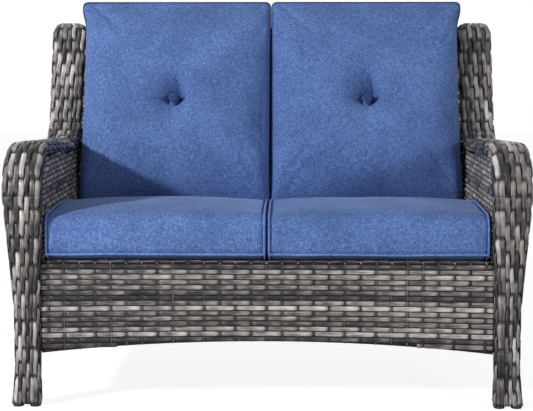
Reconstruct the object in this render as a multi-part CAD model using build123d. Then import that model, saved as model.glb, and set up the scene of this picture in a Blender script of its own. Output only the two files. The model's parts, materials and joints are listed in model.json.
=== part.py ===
from build123d import *
from math import atan2, copysign, cos, degrees, pi, radians, sin, sqrt, tan
import os

# Patio loveseat in woven resin wicker over a bolted steel frame, with four loose cushions.
# Millimetres. X runs to the right, the front faces minus Y, Z is up from the floor.

# Overall sizes
overall_width = 1290
overall_depth = 760
wing_top = 957
back_top = 950
arm_front_height = 641
arm_rear_height = 612
seat_frame_top = 356
skirt_height = 131
recline = 15

# Steel stock
hoop_tube = 22
hoop_wall = 1.2
rail_size = 25
rail_wall = 1.5
brace_size = 20
back_tube = 20
arch_tube = 19
tie_tube = 14

# Woven skins
skin = 3
skin_slack = 0.8
panel_skin = 4
fit_gap = 0.3
band_thickness = hoop_tube + 2 * (skin + skin_slack)
half_band = band_thickness / 2

# Side frame, seen from the side: the middle line of the woven band
half_width = overall_width / 2
front_limit = -overall_depth / 2
roll_overhang = 5.5
foot_step = 7.5
foot_line_y = front_limit + half_band + foot_step
ankle_line_y = foot_line_y + 12
ankle_height = 165
roll_line_y = front_limit + half_band - roll_overhang
roll_radius = 105
rise_radius = 100
ankle_radius = 1300
wing_line_y = overall_depth / 2 - half_band * cos(radians(recline))
rise_line_y = wing_line_y - (wing_top - arm_rear_height) * tan(radians(recline))

# Band edges, measured outwards from the middle of the seat
foot_outer = half_width - 13
ankle_outer = half_width - 21
roll_outer = half_width
rise_outer = half_width - 4
wing_outer = half_width - 7
foot_inner = 560
ankle_inner = 562
roll_inner = 549
rise_inner = 548
wing_inner = 540
wing_corner = 27
wing_cap_turns = (0, 17.5, 35, 52.5, 70)
cap_edge_share = 1 / 3

# Rear legs
rear_foot_y = 312
rear_knee_y = 236
rear_knee_height = 300
rear_knee_radius = 260
rear_overrun = 40

# Glides
glide_height = 6
glide_flange = 27
glide_plug = 22
glide_edge = 1

# Side panels
inner_panel_x = 552
outer_panel_top = half_width - 15
outer_panel_low = half_width - 34
side_rail_drop = 4

# Seat frame
seat_half = inner_panel_x - fit_gap
apron_face_y = front_limit + 28
apron_gap = 1
apron_arch_rise = 26
front_rail_y = apron_face_y + panel_skin + fit_gap
cross_spacing = 275
strut_size = 15
arch_end_gap = 2

# Back frame
back_low_half = 547
back_high_half = 539
upright_spacing = 262

# Fasteners
bolt_size = 6
bolt_hole = 6.6
head_size = 11
head_height = 5
socket_size = 4
socket_depth = 3
washer_size = 16
washer_height = 1.6
insert_size = 9
insert_length = 13
insert_grip = 10
panel_hole = 10
seat_bolt_inset = 53
back_bolt_spacing = 170
back_bolt_inset = 82

# Cushions
cushion_gap = 2.4
seat_cushion_outer = 547.5
seat_cushion_front = apron_face_y - 1
seat_cushion_height = 123
seat_cushion_crown = 9
back_cushion_height = 580
back_cushion_depth = 131
back_cushion_crown = 12
back_cushion_foot = 441
cushion_clearance = 1
piping_size = 5.5
foam_height = 88
foam_inset = 32
button_size = 27
button_height = 7
twine_size = 2
tuft_radius = 85
tuft_depth = 30
rear_tuft_radius = 42
rear_tuft_depth = 10
seat_nose = 45
seat_hem = 16
seat_side_round = 20
seat_rear_round = 16
seat_drawn_in = 5
seat_corner_radius = 14
back_corner_radius = 7
seat_piping_inset = 9
seat_piping_sink = 1.5
seat_piping_end = 20
back_piping_sink = 3


# Helpers
def crossing(start, along, other, other_along):
    """Point where two lines of one plane meet."""
    reach = (other - start).cross(other_along).Z / along.cross(other_along).Z
    return start + along * reach


def beside(points, distance):
    """Corners of a line that runs to the left of another one at an even distance."""
    ways = [(b - a).normalized() for a, b in zip(points, points[1:])]
    sides = [Vector(-way.Y, way.X) * distance for way in ways]
    corners = [points[0] + sides[0]]
    for i in range(len(ways) - 1):
        corners.append(crossing(points[i] + sides[i], ways[i], points[i + 1] + sides[i + 1], ways[i + 1]))
    corners.append(points[-1] + sides[-1])
    return corners


def placed(x, point):
    """Point of the side view, set at a distance from the middle."""
    return Vector(x, point.X, point.Y)


def mirrored(shape):
    return mirror(shape, about=Plane.YZ)


def rod(path, size):
    """Round bar along a path."""
    return sweep(Plane(origin=path @ 0, z_dir=path % 0) * Circle(size / 2), path=path)


def bent_tube(path, size, wall):
    return rod(path, size) - rod(path, size - 2 * wall)


def box_between(low, high):
    """Block between two corners."""
    size = Vector(*high) - Vector(*low)
    return Pos(*(Vector(*low) + size / 2)) * Box(*size)


def square_tube(low, high, axis, wall):
    """Square tube between two corners, open at the ends of its axis."""
    inset = [0 if i == axis else wall for i in range(3)]
    inner_low = [a + b for a, b in zip(low, inset)]
    inner_high = [a - b for a, b in zip(high, inset)]
    return box_between(low, high) - box_between(inner_low, inner_high)


def write(name, *shapes):
    """One STEP file for one node, which may hold several separate solids."""
    solids = [solid for shape in shapes for solid in shape.solids()]
    export_step(Compound(children=solids), f"parts/{name}.step")


# Woven band over two bent tubes, seen from the side as runs and bends
def bend_at(before, corner, after, radius):
    """Start, end, centre and turn to the left of the bend that rounds a corner."""
    way, next_way = (corner - before).normalized(), (after - corner).normalized()
    turn = atan2(way.cross(next_way).Z, way.dot(next_way))
    reach = radius * tan(abs(turn) / 2)
    start = corner - way * reach
    side = Vector(-way.Y, way.X) * copysign(radius, turn)
    return start, corner + next_way * reach, start + side, degrees(turn)


def runs_and_bends(corners, radii, edges):
    """Splits a side line into runs, as pairs of stations, and the bends between them.

    A station is its point, its direction and the inner and outer edge of the band there."""
    runs, bends = [], []
    way = (corners[1] - corners[0]).normalized()
    station = (corners[0], way, edges[0])
    for i, radius in enumerate(radii, 1):
        start, end, centre, turn = bend_at(corners[i - 1], corners[i], corners[i + 1], radius)
        runs.append((station, (start, way, edges[i])))
        bends.append((runs[-1][1], centre, turn))
        way = (corners[i + 1] - corners[i]).normalized()
        station = (end, way, edges[i])
    runs.append((station, (corners[-1], way, edges[-1])))
    return runs, bends


def stadium(width, thickness):
    """Band section: two flat sides and two round ends."""
    return SlotOverall(width, thickness)


def band_face(station, inset, bore=None):
    """Section of the woven band at a station, drawn in by the inset, with an open middle."""
    point, way, (inner, outer) = station
    plane = Plane(origin=placed((inner + outer) / 2, point), x_dir=(1, 0, 0), z_dir=placed(0, way))
    face = stadium(outer - inner - 2 * inset, band_thickness - 2 * inset)
    if bore is not None:
        face -= stadium(outer - inner - 2 * bore, band_thickness - 2 * bore)
    return plane * face


def tube_plane(station, edge):
    """Plane square to the tube near the inner edge, 0, or the outer edge, 1."""
    point, way, edges = station
    x = edges[edge] + (half_band if edge == 0 else -half_band)
    return Plane(origin=placed(x, point), x_dir=(1, 0, 0), z_dir=placed(0, way))


def tube_ring(station, edge):
    """Section of a tube of the side frame."""
    return tube_plane(station, edge) * (Circle(hoop_tube / 2) - Circle(hoop_tube / 2 - hoop_wall))


def tube_disc(station, edge, growth=0):
    """Outline of a tube of the side frame, filled."""
    return tube_plane(station, edge) * Circle(hoop_tube / 2 + growth)


def along_line(runs, bends, first, last, face_at):
    """Solid along the runs and bends from one place to another: even numbers are runs."""
    solid = None
    for place in range(first, last):
        if place % 2:
            station, centre, turn = bends[place // 2]
            axis = Axis(origin=placed(0, centre), direction=(copysign(1, turn), 0, 0))
            piece = revolve(face_at(station), axis=axis, revolution_arc=abs(turn))
        else:
            piece = loft([face_at(station) for station in runs[place // 2]], ruled=True)
        solid = piece if solid is None else solid + piece
    return solid


foot = Vector(foot_line_y, glide_height)
ankle = Vector(ankle_line_y, ankle_height)
roll = Vector(roll_line_y, arm_front_height)
rise = Vector(rise_line_y, arm_rear_height)
lean_way = Vector(tan(radians(recline)), 1)
wing = Vector(wing_line_y, wing_top) - lean_way * wing_corner
side_line = [foot, ankle, roll, rise, wing]
band_edges = [(foot_inner, foot_outer), (ankle_inner, ankle_outer), (roll_inner, roll_outer),
              (rise_inner, rise_outer), (wing_inner, wing_outer)]
side = runs_and_bends(side_line, [ankle_radius, roll_radius, rise_radius], band_edges)

# Rear leg, whose top reaches into the bend under the wing
rear_foot = Vector(rear_foot_y, glide_height)
rear_knee = Vector(rear_knee_y, rear_knee_height)
rear_top = rise + (rise - rear_knee).normalized() * rear_overrun
rear_line = [rear_foot, rear_knee, rear_top]
rear = runs_and_bends(rear_line, [rear_knee_radius], [(ankle_inner, ankle_outer)] * 3)


def woven_sleeve(line, first, last):
    """Hollow woven skin round two tubes."""
    return along_line(*line, first, last, lambda station: band_face(station, 0, skin))


def grown_band(line, first, last):
    """The same band filled and a little larger, which cuts what butts against it."""
    return along_line(*line, first, last, lambda station: band_face(station, -fit_gap))


def wing_cap():
    """Rounded end of the band: its width and thickness shrink round quarter circles."""
    point, way, (inner, outer) = side[0][-1][1]
    sections = []
    for turn in [radians(degree) for degree in wing_cap_turns]:
        plane = Plane(origin=placed((inner + outer) / 2, point + way * wing_corner * sin(turn)),
                      x_dir=(1, 0, 0), z_dir=placed(0, way))
        width = outer - inner - 2 * wing_corner * (1 - cos(turn))
        thickness = band_thickness * (cap_edge_share + (1 - cap_edge_share) * cos(turn))
        sections.append(plane * stadium(width, thickness))
    return loft(sections, ruled=True)


leg_weave = woven_sleeve(side, 0, 3)
arm_weave = woven_sleeve(side, 3, 5)
wing_weave = woven_sleeve(side, 5, 7) + wing_cap()
upper_band = grown_band(side, 4, 7)
rear_leg_weave = (woven_sleeve(rear, 0, 3) - upper_band).solids().sort_by(Axis.Z)[0]

inner_hoop = along_line(*side, 0, 7, lambda station: tube_ring(station, 0))
outer_hoop = along_line(*side, 0, 7, lambda station: tube_ring(station, 1))
hoop_cores = [along_line(*side, 0, 7, lambda station: tube_disc(station, edge)) for edge in (0, 1)]
rear_cores = [along_line(*rear, 0, 3, lambda station: tube_disc(station, edge)) for edge in (0, 1)]
rear_leg_tubes = []
for edge in (0, 1):
    whole = along_line(*rear, 0, 3, lambda station: tube_ring(station, edge)) - hoop_cores[edge]
    rear_leg_tubes.append(whole.solids().sort_by(Axis.Z)[0])
    wing_weave -= along_line(*rear, 2, 3, lambda station: tube_disc(station, edge, fit_gap))


# Short ties between the two hoops: which run, and how far along it
tie_place_shares = ((1, 0.45), (2, 0.2), (2, 0.8), (3, 0.9))


def hoop_tie(run, share):
    """Round tube across the band, cut to fit against both hoops."""
    first, last = side[0][run]
    point = first[0] + (last[0] - first[0]) * share
    inner, outer = [a + (b - a) * share for a, b in zip(first[2], last[2])]
    ring = Circle(tie_tube / 2) - Circle(tie_tube / 2 - hoop_wall)
    plane = Plane(origin=placed(inner + half_band, point), z_dir=(1, 0, 0))
    tie = extrude(plane * ring, outer - inner - band_thickness)
    return (tie - hoop_cores[0] - hoop_cores[1]).solids().sort_by(SortBy.VOLUME)[-1]


ties = [hoop_tie(run, share) for run, share in tie_place_shares]


# Side panels between the front band and the rear leg
front_inside = beside(side_line[:4], -(half_band + fit_gap))
rear_inside = beside(rear_line, half_band + fit_gap)
arm_way = front_inside[3] - front_inside[2]
rear_way = rear_inside[2] - rear_inside[1]
panel_corner = crossing(front_inside[2], arm_way, rear_inside[1], rear_way)
inside_radii = [ankle_radius + half_band + fit_gap, roll_radius - half_band - fit_gap]
panel_outline = Curve() + [
    FilletPolyline(front_inside[0], front_inside[1], front_inside[2], panel_corner, radius=inside_radii),
    FilletPolyline(panel_corner, rear_inside[1], rear_inside[0], radius=rear_knee_radius - half_band),
    Line(rear_inside[0], front_inside[0]),
]
panel_region = Plane.YZ * make_face(panel_outline)
above_skirt = Pos(0, 0, skirt_height + wing_top) * Box(2 * overall_width, 2 * overall_depth, 2 * wing_top)
side_prism = extrude(panel_region, overall_width) & above_skirt
inner_rail_x = inner_panel_x + panel_skin
inner_slab = box_between((inner_panel_x, -overall_depth, 0), (inner_rail_x, overall_depth, wing_top))
panel_lean = (outer_panel_top - outer_panel_low) / (arm_rear_height - skirt_height)
outer_root = outer_panel_low - skirt_height * panel_lean
outer_high = outer_root + wing_top * panel_lean
slab_corners = [
    (outer_root - panel_skin, 0), (outer_root, 0),
    (outer_high, wing_top), (outer_high - panel_skin, wing_top)]
outer_slab = extrude(Plane.XZ * make_face(Polyline(*slab_corners, close=True)), overall_depth, both=True)
inner_panel = side_prism & inner_slab
outer_panel = side_prism & outer_slab

# Rails of the side frame, cut to fit against the bent tubes
side_low = skirt_height + side_rail_drop
outer_rail_x = outer_root + side_low * panel_lean - panel_skin - fit_gap
frame_region = Plane.YZ * make_face(Polyline(foot, ankle, roll, rise, rear_knee, rear_foot, close=True))
frame_prism = extrude(frame_region, overall_width)


def side_rail(low_x, low_z):
    """Square tube from the front hoop to the rear leg, and the slot it needs in the skins."""
    low, high = (low_x, front_limit, low_z), (low_x + brace_size, -front_limit, low_z + brace_size)
    tube = square_tube(low, high, 1, rail_wall) & frame_prism
    for core in hoop_cores + rear_cores:
        tube -= core
    slot = box_between([v - fit_gap for v in low], [v + fit_gap for v in high]) & frame_prism
    return tube.solids().sort_by(SortBy.VOLUME)[-1], slot


inner_low_rail, inner_slot = side_rail(inner_rail_x, side_low)
outer_low_rail, outer_slot = side_rail(outer_rail_x - brace_size, side_low)
side_seat_rail, seat_slot = side_rail(inner_rail_x, seat_frame_top - (rail_size + brace_size) / 2)
for slot in (inner_slot, outer_slot, seat_slot):
    leg_weave -= slot
    rear_leg_weave -= slot


def drilled(shape, seats, way, size):
    """Cuts a round hole along the bolt line of each seat."""
    for seat in seats:
        shape = shape - extrude(Plane(origin=seat, z_dir=way) * Circle(size / 2), rail_size, both=True)
    return shape


# Bolts that hold the seat to the side frames, laid across the seat
across = Vector(1, 0, 0)
back_line = rise + Vector(-tan(radians(recline)), -1) * (arm_rear_height - seat_frame_top - back_tube / 2)
rear_rail_y = back_line.X - rail_size / 2
seat_bolt_places = (front_rail_y + rail_size + seat_bolt_inset, rear_rail_y - seat_bolt_inset)
seat_bolt_seats = [Vector(seat_half - rail_size, y, seat_frame_top - rail_size / 2) for y in seat_bolt_places]
insert_seats = [Vector(inner_rail_x, seat.Y, seat.Z) for seat in seat_bolt_seats]
inner_panel = drilled(inner_panel, insert_seats, across, panel_hole)
side_seat_rail = drilled(side_seat_rail, insert_seats, across, insert_size)

# Seat frame
rail_low = seat_frame_top - rail_size
seat_front_rail = square_tube(
    (-seat_half, front_rail_y, rail_low), (seat_half, front_rail_y + rail_size, seat_frame_top), 0, rail_wall)
seat_rear_rail = square_tube(
    (-seat_half, rear_rail_y, rail_low), (seat_half, rear_rail_y + rail_size, seat_frame_top), 0, rail_wall)
seat_side_rail = square_tube(
    (seat_half - rail_size, front_rail_y + rail_size, rail_low),
    (seat_half, rear_rail_y, seat_frame_top), 1, rail_wall)
seat_side_rail = drilled(seat_side_rail, seat_bolt_seats, across, bolt_hole)
cross_tubes = [
    square_tube(
        (x - brace_size / 2, front_rail_y + rail_size, seat_frame_top - brace_size),
        (x + brace_size / 2, rear_rail_y, seat_frame_top), 1, rail_wall)
    for x in (-cross_spacing, 0, cross_spacing)
]

# Arched rail of the apron
hem_radius = arch_tube / 2 + fit_gap + panel_skin
arch_y = apron_face_y + hem_radius
arch_half = seat_half - arch_end_gap
arch_low = skirt_height + hem_radius
arch_ends = [Vector(side * arch_half, arch_y, arch_low) for side in (-1, 1)]
arch_line = ThreePointArc(arch_ends[0], (0, arch_y, arch_low + apron_arch_rise), arch_ends[1])
apron_arch_rail = bent_tube(arch_line, arch_tube, hoop_wall)
arch_core = rod(arch_line, arch_tube)


def apron_strut(x):
    """Short square tube from the front rail down to the arched rail."""
    low = (x - strut_size / 2, arch_y - strut_size / 2, skirt_height)
    high = (x + strut_size / 2, arch_y + strut_size / 2, rail_low)
    return (square_tube(low, high, 2, rail_wall) - arch_core).solids().sort_by(Axis.Z)[-1]


apron_struts = [apron_strut(x) for x in (-cross_spacing, 0, cross_spacing)]

# Front apron: a woven face with a rolled hem round the arched rail
def inner_edge_at(height):
    """Inner edge of the leg's woven band at a height between the ankle and the arm."""
    (low, _, low_edges), (high, _, high_edges) = side[0][1]
    share = (height - low.Y) / (high.Y - low.Y)
    return low_edges[0] + (high_edges[0] - low_edges[0]) * share


apron_top_half = min(inner_edge_at(seat_frame_top), inner_rail_x) - apron_gap
apron_low_half = foot_inner - apron_gap
apron_outline = Curve() + [
    Line((-apron_top_half, seat_frame_top), (apron_top_half, seat_frame_top)),
    Line((apron_top_half, seat_frame_top), (apron_low_half, arch_low)),
    Line((apron_low_half, arch_low), (arch_half, arch_low)),
    ThreePointArc((arch_half, arch_low), (0, arch_low + apron_arch_rise), (-arch_half, arch_low)),
    Line((-arch_half, arch_low), (-apron_low_half, arch_low)),
    Line((-apron_low_half, arch_low), (-apron_top_half, seat_frame_top)),
]
apron_plane = Plane(origin=(0, apron_face_y + panel_skin, 0), x_dir=(1, 0, 0), z_dir=(0, -1, 0))
apron_face = extrude(apron_plane * make_face(apron_outline), panel_skin)
hem_plane = Plane(origin=arch_line @ 0, x_dir=(0, 1, 0), z_dir=arch_line % 0)
hem_cut = Pos(0, hem_radius, 0) * Rectangle(2 * hem_radius, 2 * hem_radius)
hem_ring = Circle(hem_radius) - Circle(hem_radius - panel_skin) - hem_cut
front_apron = apron_face + sweep(hem_plane * hem_ring, path=arch_line)

# Rear apron, straight along its lower edge
rear_face_y = rear_rail_y + rail_size + fit_gap
rear_apron = box_between(
    (-seat_half, rear_face_y, skirt_height), (seat_half, rear_face_y + panel_skin, seat_frame_top))
rear_low_rail = square_tube(
    (-seat_half, rear_rail_y + rail_size - brace_size, side_low),
    (seat_half, rear_rail_y + rail_size, side_low + brace_size), 0, rail_wall)
rear_struts = [
    square_tube(
        (x - strut_size / 2, rear_rail_y + rail_size - strut_size, side_low + brace_size),
        (x + strut_size / 2, rear_rail_y + rail_size, rail_low), 2, rail_wall)
    for x in (-cross_spacing, cross_spacing)
]

# Woven seat deck
deck_top = seat_frame_top + panel_skin
deck_rear = rear_rail_y - fit_gap
seat_deck = box_between((-seat_half, apron_face_y, seat_frame_top), (seat_half, deck_rear, deck_top))

# Back frame, in a plane that leans back
lean_up = Vector(0, sin(radians(recline)), cos(radians(recline)))
back_origin = Vector(0, back_line.X, seat_frame_top + back_tube / 2)
back_plane = Plane(origin=back_origin, x_dir=(1, 0, 0), z_dir=Vector(0, -lean_up.Z, lean_up.Y))
back_rise = (back_top - back_origin.Z) / lean_up.Z - band_thickness / 2
rail_half = back_low_half - skin - skin_slack
top_rail_half = back_high_half - skin - 2 * skin_slack


def back_rod(half, height, size):
    """Level bar in the leaning back."""
    ends = [back_plane.from_local_coords((x, height, 0)) for x in (-half, half)]
    return rod(Line(*ends), size)


def back_tube_at(half, height):
    return back_rod(half, height, back_tube) - back_rod(half, height, back_tube - 2 * hoop_wall)


back_bolt_seats = [
    Vector(turn * x, back_origin.Y, rail_low)
    for turn in (-1, 1) for x in (back_bolt_spacing, seat_half - back_bolt_inset)]
upward = Vector(0, 0, 1)
back_bottom_rail = back_tube_at(rail_half, 0)
for seat in back_bolt_seats:
    back_bottom_rail -= Pos(seat.X, seat.Y, seat_frame_top) * Cylinder(insert_size / 2, back_tube)
back_top_rail = back_tube_at(top_rail_half, back_rise)
seat_rear_rail = drilled(seat_rear_rail, back_bolt_seats, upward, bolt_hole)
rail_cores = back_rod(rail_half, 0, back_tube) + back_rod(top_rail_half, back_rise, back_tube)


def upright(x):
    """Round tube between the two level rails of the back, cut to fit round them."""
    line = Line(back_plane.from_local_coords((x, 0, 0)), back_plane.from_local_coords((x, back_rise, 0)))
    return (bent_tube(line, back_tube, hoop_wall) - rail_cores).solids().sort_by(SortBy.VOLUME)[-1]


end_upright = top_rail_half - back_tube / 2
upright_places = (-end_upright, -upright_spacing, 0, upright_spacing, end_upright)
back_uprights = [upright(x) for x in upright_places]


def back_body(inset, low):
    """Leaning slab with a rounded top and slightly tapered sides."""
    radius = band_thickness / 2 - inset
    outline = Curve() + [
        Line((-radius, low), (radius, low)),
        Line((radius, low), (radius, back_rise)),
        CenterArc((0, back_rise), radius, 0, 90),
        CenterArc((0, back_rise), radius, 90, 90),
        Line((-radius, back_rise), (-radius, low)),
    ]
    side_view = Plane(origin=back_origin, x_dir=back_plane.z_dir, z_dir=(-1, 0, 0)) * make_face(outline)
    slab = extrude(side_view, overall_width / 2, both=True)
    reach = back_rise + band_thickness
    taper = (back_low_half - back_high_half) / back_rise
    low_half, high_half = back_low_half - inset, back_high_half - inset - band_thickness * taper
    corners = [(-low_half, 0), (low_half, 0), (high_half, reach), (-high_half, reach)]
    sides = extrude(back_plane * make_face(Polyline(*corners, close=True)), band_thickness, both=True)
    return slab & sides


back_weave = back_body(0, fit_gap) - back_body(skin, 0)


# Bolts, washers and threaded inserts
def bolt(seat, way, length):
    """Socket head screw whose washer bears on the seat."""
    plane = Plane(origin=seat, z_dir=way)
    head_base = plane.offset(-washer_height - head_height)
    head = extrude(head_base * Circle(head_size / 2), head_height)
    socket = extrude(head_base * RegularPolygon(socket_size / 2, 6, major_radius=False), socket_depth)
    shank = extrude(plane.offset(-washer_height) * Circle(bolt_size / 2), length)
    return head + shank - socket


def washer(seat, way):
    ring = Circle(washer_size / 2) - Circle(bolt_hole / 2)
    return extrude(Plane(origin=seat, z_dir=way).offset(-washer_height) * ring, washer_height)


def insert(seat, way):
    """Threaded sleeve pressed into a tube wall."""
    ring = Circle(insert_size / 2) - Circle(bolt_hole / 2)
    return extrude(Plane(origin=seat, z_dir=way) * ring, insert_length)


seat_bolt_length = rail_size + inner_rail_x - seat_half + insert_grip
back_bolt_length = rail_size + insert_grip
bolts, washers, inserts = [], [], []
for seat, insert_seat in zip(seat_bolt_seats, insert_seats):
    parts = (bolt(seat, across, seat_bolt_length), washer(seat, across), insert(insert_seat, across))
    for group, piece in zip((bolts, washers, inserts), parts):
        group += [piece, mirrored(piece)]
for seat in back_bolt_seats:
    bolts.append(bolt(seat, upward, back_bolt_length))
    washers.append(washer(seat, upward))
    inserts.append(insert(Vector(seat.X, seat.Y, seat_frame_top), upward))


# Plastic glides in the ends of the leg tubes
above_floor = box_between((-overall_width, -overall_depth, 0), (overall_width, overall_depth, wing_top))


def glide(run, edge):
    """Flange square to the tube's end, cut flat by the floor, with a plug inside the tube."""
    end = tube_plane(run[0], edge)
    along = (tube_plane(run[1], edge).origin - end.origin).normalized()
    flange = extrude(end * Circle(glide_flange / 2), -glide_flange) & above_floor
    flange = chamfer(flange.faces().sort_by(Axis.Z)[0].edges(), glide_edge)
    plug = extrude(end * Circle(hoop_tube / 2 - hoop_wall - fit_gap), glide_plug, dir=along)
    return flange + plug


glides = [glide(line[0][0], edge) for line in (side, rear) for edge in (0, 1)]


# Cushions
def rounded_section(half, low, high, crown, corner_radius):
    """Closed outline of lines and arcs: a flat base, rounded corners and a crowned top."""
    points = [(-half, low), (half, low), (half, high), (0, high + crown), (-half, high)]
    crown_radius = half * half / crown / 2
    radii = [corner_radius, corner_radius, corner_radius, crown_radius, corner_radius]
    return make_face(FilletPolyline(*points, radius=radii, close=True))


seat_cushion_inner = cushion_gap / 2
seat_cushion_low = deck_top + fit_gap
seat_cushion_middle = (seat_cushion_inner + seat_cushion_outer) / 2
back_face = back_plane.offset(band_thickness / 2 + cushion_clearance)
seat_cushion_rear = back_face.from_local_coords((0, seat_frame_top - back_origin.Z, 0)).Y
seat_cushion_depth = seat_cushion_rear - seat_cushion_front
seat_cushion_width = seat_cushion_outer - seat_cushion_inner

# Seat cushion sections, front to rear: places and mid heights as shares of depth and height
seat_place_shares = (
    0, 0.006, 0.02, 0.042, 0.075, 0.12, 0.2, 0.31, 0.43, 0.55, 0.67, 0.79, 0.89, 0.95, 0.98, 1)
seat_high_shares = (
    1, 1, 1, 1, 1, 1.01, 1.03, 1.045, 1.05, 1.035, 0.99, 0.925, 0.812, 0.745, 0.71, 0.69)
seat_end_crown_share = 0.3
foam_length_share = 0.62
foam_lift_share = 0.25


def rounding(distance, radius):
    """How far a surface falls back at a distance from an end that is rounded to a radius."""
    left = max(radius - distance, 0)
    return radius - sqrt(radius * radius - left * left)


def seat_section(place, high):
    """Cross section of the seat cushion: half width, underside, top and crown at a place."""
    front, rear = seat_cushion_depth * place, seat_cushion_depth * (1 - place)
    half = seat_cushion_width / 2 - rounding(front, seat_side_round) - rounding(rear, seat_rear_round)
    half -= seat_drawn_in * sin(pi * place)
    low = seat_cushion_low + rounding(front, seat_hem) + rounding(rear, seat_rear_round)
    top = seat_cushion_low + seat_cushion_height * high
    top -= rounding(front, seat_nose) + rounding(rear, seat_rear_round)
    crown = seat_cushion_crown * (seat_end_crown_share + sin(pi * place))
    return half, low, top, crown


def seat_cushion_body():
    """Crowned seat cushion with a rolled front edge, lofted from front to rear."""
    sections = []
    for place, high in zip(seat_place_shares, seat_high_shares):
        half, low, top, crown = seat_section(place, high)
        y = seat_cushion_front + seat_cushion_depth * place
        plane = Plane(origin=(seat_cushion_middle, y, 0), x_dir=(1, 0, 0), z_dir=(0, -1, 0))
        sections.append(plane * rounded_section(half, low, top - crown, crown, seat_corner_radius))
    return loft(sections)


# Back cushion sections, bottom to top: place, width, rear and front as shares
back_place_shares = (0, 0.03, 0.1, 0.3, 0.55, 0.8, 0.93, 0.985, 1)
back_width_shares = (0.95, 0.99, 1, 0.97, 0.958, 0.972, 0.985, 0.97, 0.94)
back_rear_shares = (0.12, 0.03, 0, 0, 0, 0.01, 0.05, 0.1, 0.13)
back_front_shares = (0.75, 0.93, 0.98, 1, 0.95, 0.76, 0.57, 0.44, 0.37)
back_crown_shares = (0.2, 0.5, 0.8, 1, 1.1, 0.8, 0.5, 0.2, 0.1)
tuft_height_share = 0.505
tuft_rim_shares = (1, 0.72, 0.45, 0.24)
tuft_depth_shares = (0, 0.12, 0.45, 1)
button_rim_share = 0.33


def back_cushion_frame():
    """Plane of the cushion's underside: X across, Y towards the sitter, square to the lean."""
    reach = (back_cushion_foot - back_face.origin.Z) / lean_up.Z
    foot_point = back_face.origin + lean_up * reach + Vector(seat_cushion_middle, 0, 0)
    return Plane(origin=foot_point, x_dir=(1, 0, 0), z_dir=-lean_up)


cushion_foot = back_cushion_frame()


def back_cushion_body():
    """Back cushion with sides drawn in between its corners, lofted from bottom to top."""
    sections = []
    for place, width, rear, front, crown_share in zip(
            back_place_shares, back_width_shares, back_rear_shares, back_front_shares, back_crown_shares):
        crown = back_cushion_crown * crown_share
        outline = rounded_section(
            seat_cushion_width * width / 2, back_cushion_depth * rear, back_cushion_depth * front - crown,
            crown, back_corner_radius)
        sections.append(cushion_foot.offset(-back_cushion_height * place) * outline)
    return loft(sections)


def tuft(surface_point, inward, radius, depth):
    """Funnel that the button pulls into the cushion, lofted through circles, with a flat seat."""
    circles = []
    for rim, share in zip(tuft_rim_shares, tuft_depth_shares):
        plane = Plane(origin=surface_point + inward * (depth * share), z_dir=inward)
        size = max(radius * rim, button_size / 2 + fit_gap)
        arcs = [CenterArc((0, 0), size, turn, 90) for turn in (0, 90, 180, 270)]
        circles.append(plane * make_face(Curve() + arcs))
    return loft(circles)


tuft_place = cushion_foot.offset(-back_cushion_height * tuft_height_share)
front_surface = tuft_place.from_local_coords((0, back_cushion_depth * back_front_shares[4], 0))
rear_surface = tuft_place.origin
inward = (rear_surface - front_surface).normalized()
front_seat = front_surface + inward * tuft_depth
rear_seat = rear_surface - inward * rear_tuft_depth


def button(seat, outward):
    """Covered button: a domed cap that sits in the tuft."""
    half, rim = button_size / 2, button_height * button_rim_share
    profile = make_face(Curve() + [
        Line((0, 0), (half, 0)),
        Line((half, 0), (half, rim)),
        TangentArc((0, button_height), (half, rim), tangent=(1, 0)),
        Line((0, button_height), (0, 0)),
    ])
    half_plane = Plane(origin=seat + outward * fit_gap, x_dir=across, z_dir=across.cross(outward))
    return revolve(half_plane * profile, axis=Axis(origin=seat, direction=outward))


back_cushion = back_cushion_body()
back_cushion -= tuft(front_surface, inward, tuft_radius, tuft_depth)
back_cushion -= tuft(rear_surface, -inward, rear_tuft_radius, rear_tuft_depth)
twine_line = Line(front_seat - inward * fit_gap, rear_seat + inward * fit_gap)
back_cushion -= rod(twine_line, twine_size + 2 * fit_gap)
twine = rod(twine_line, twine_size)
front_button = button(front_seat, -inward)
rear_button = button(rear_seat, inward)

# Seat cushion with a foam slab inside its filled cover
foam_low = seat_cushion_low + (seat_cushion_height - foam_height) * foam_lift_share
foam_rear = seat_cushion_front + seat_cushion_depth * foam_length_share
foam_corner = (seat_cushion_inner + foam_inset, seat_cushion_front + foam_inset, foam_low)
foam_end = (seat_cushion_outer - foam_inset, foam_rear, foam_low + foam_height)
foam = box_between(foam_corner, foam_end)
foam_space = box_between([v - fit_gap for v in foam_corner], [v + fit_gap for v in foam_end])
seat_cushion = seat_cushion_body() - foam_space


# Piping, laid in a groove along each seam


def side_piping_line(x):
    """Closed line round one side panel of the seat cushion."""
    front = seat_cushion_front + seat_piping_sink
    rear = seat_cushion_front + seat_cushion_depth - seat_piping_sink
    low = seat_cushion_low + piping_size / 2
    heights = [seat_cushion_low + seat_cushion_height * share - seat_cushion_crown / 2 - seat_piping_sink
               for share in (1, seat_high_shares[8], seat_high_shares[11], seat_high_shares[-1])]
    places = [front, seat_cushion_front + seat_cushion_depth * seat_place_shares[8],
              seat_cushion_front + seat_cushion_depth * seat_place_shares[11], rear]
    points = [(x, front, low)] + [(x, y, z) for y, z in zip(places, heights)] + [(x, rear, low)]
    radii = [seat_hem, seat_nose - seat_piping_sink, 4 * seat_cushion_depth, seat_cushion_depth / 2,
             seat_rear_round, seat_rear_round]
    return FilletPolyline(*points, radius=radii, close=True)


def front_piping_line():
    """Straight seam along the foot of the cushion's front."""
    y, z = seat_cushion_front + seat_piping_sink, seat_cushion_low + seat_hem + piping_size / 2
    ends = (seat_cushion_inner + seat_piping_end, seat_cushion_outer - seat_piping_end)
    return Line(*[(x, y, z) for x in ends])


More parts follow.
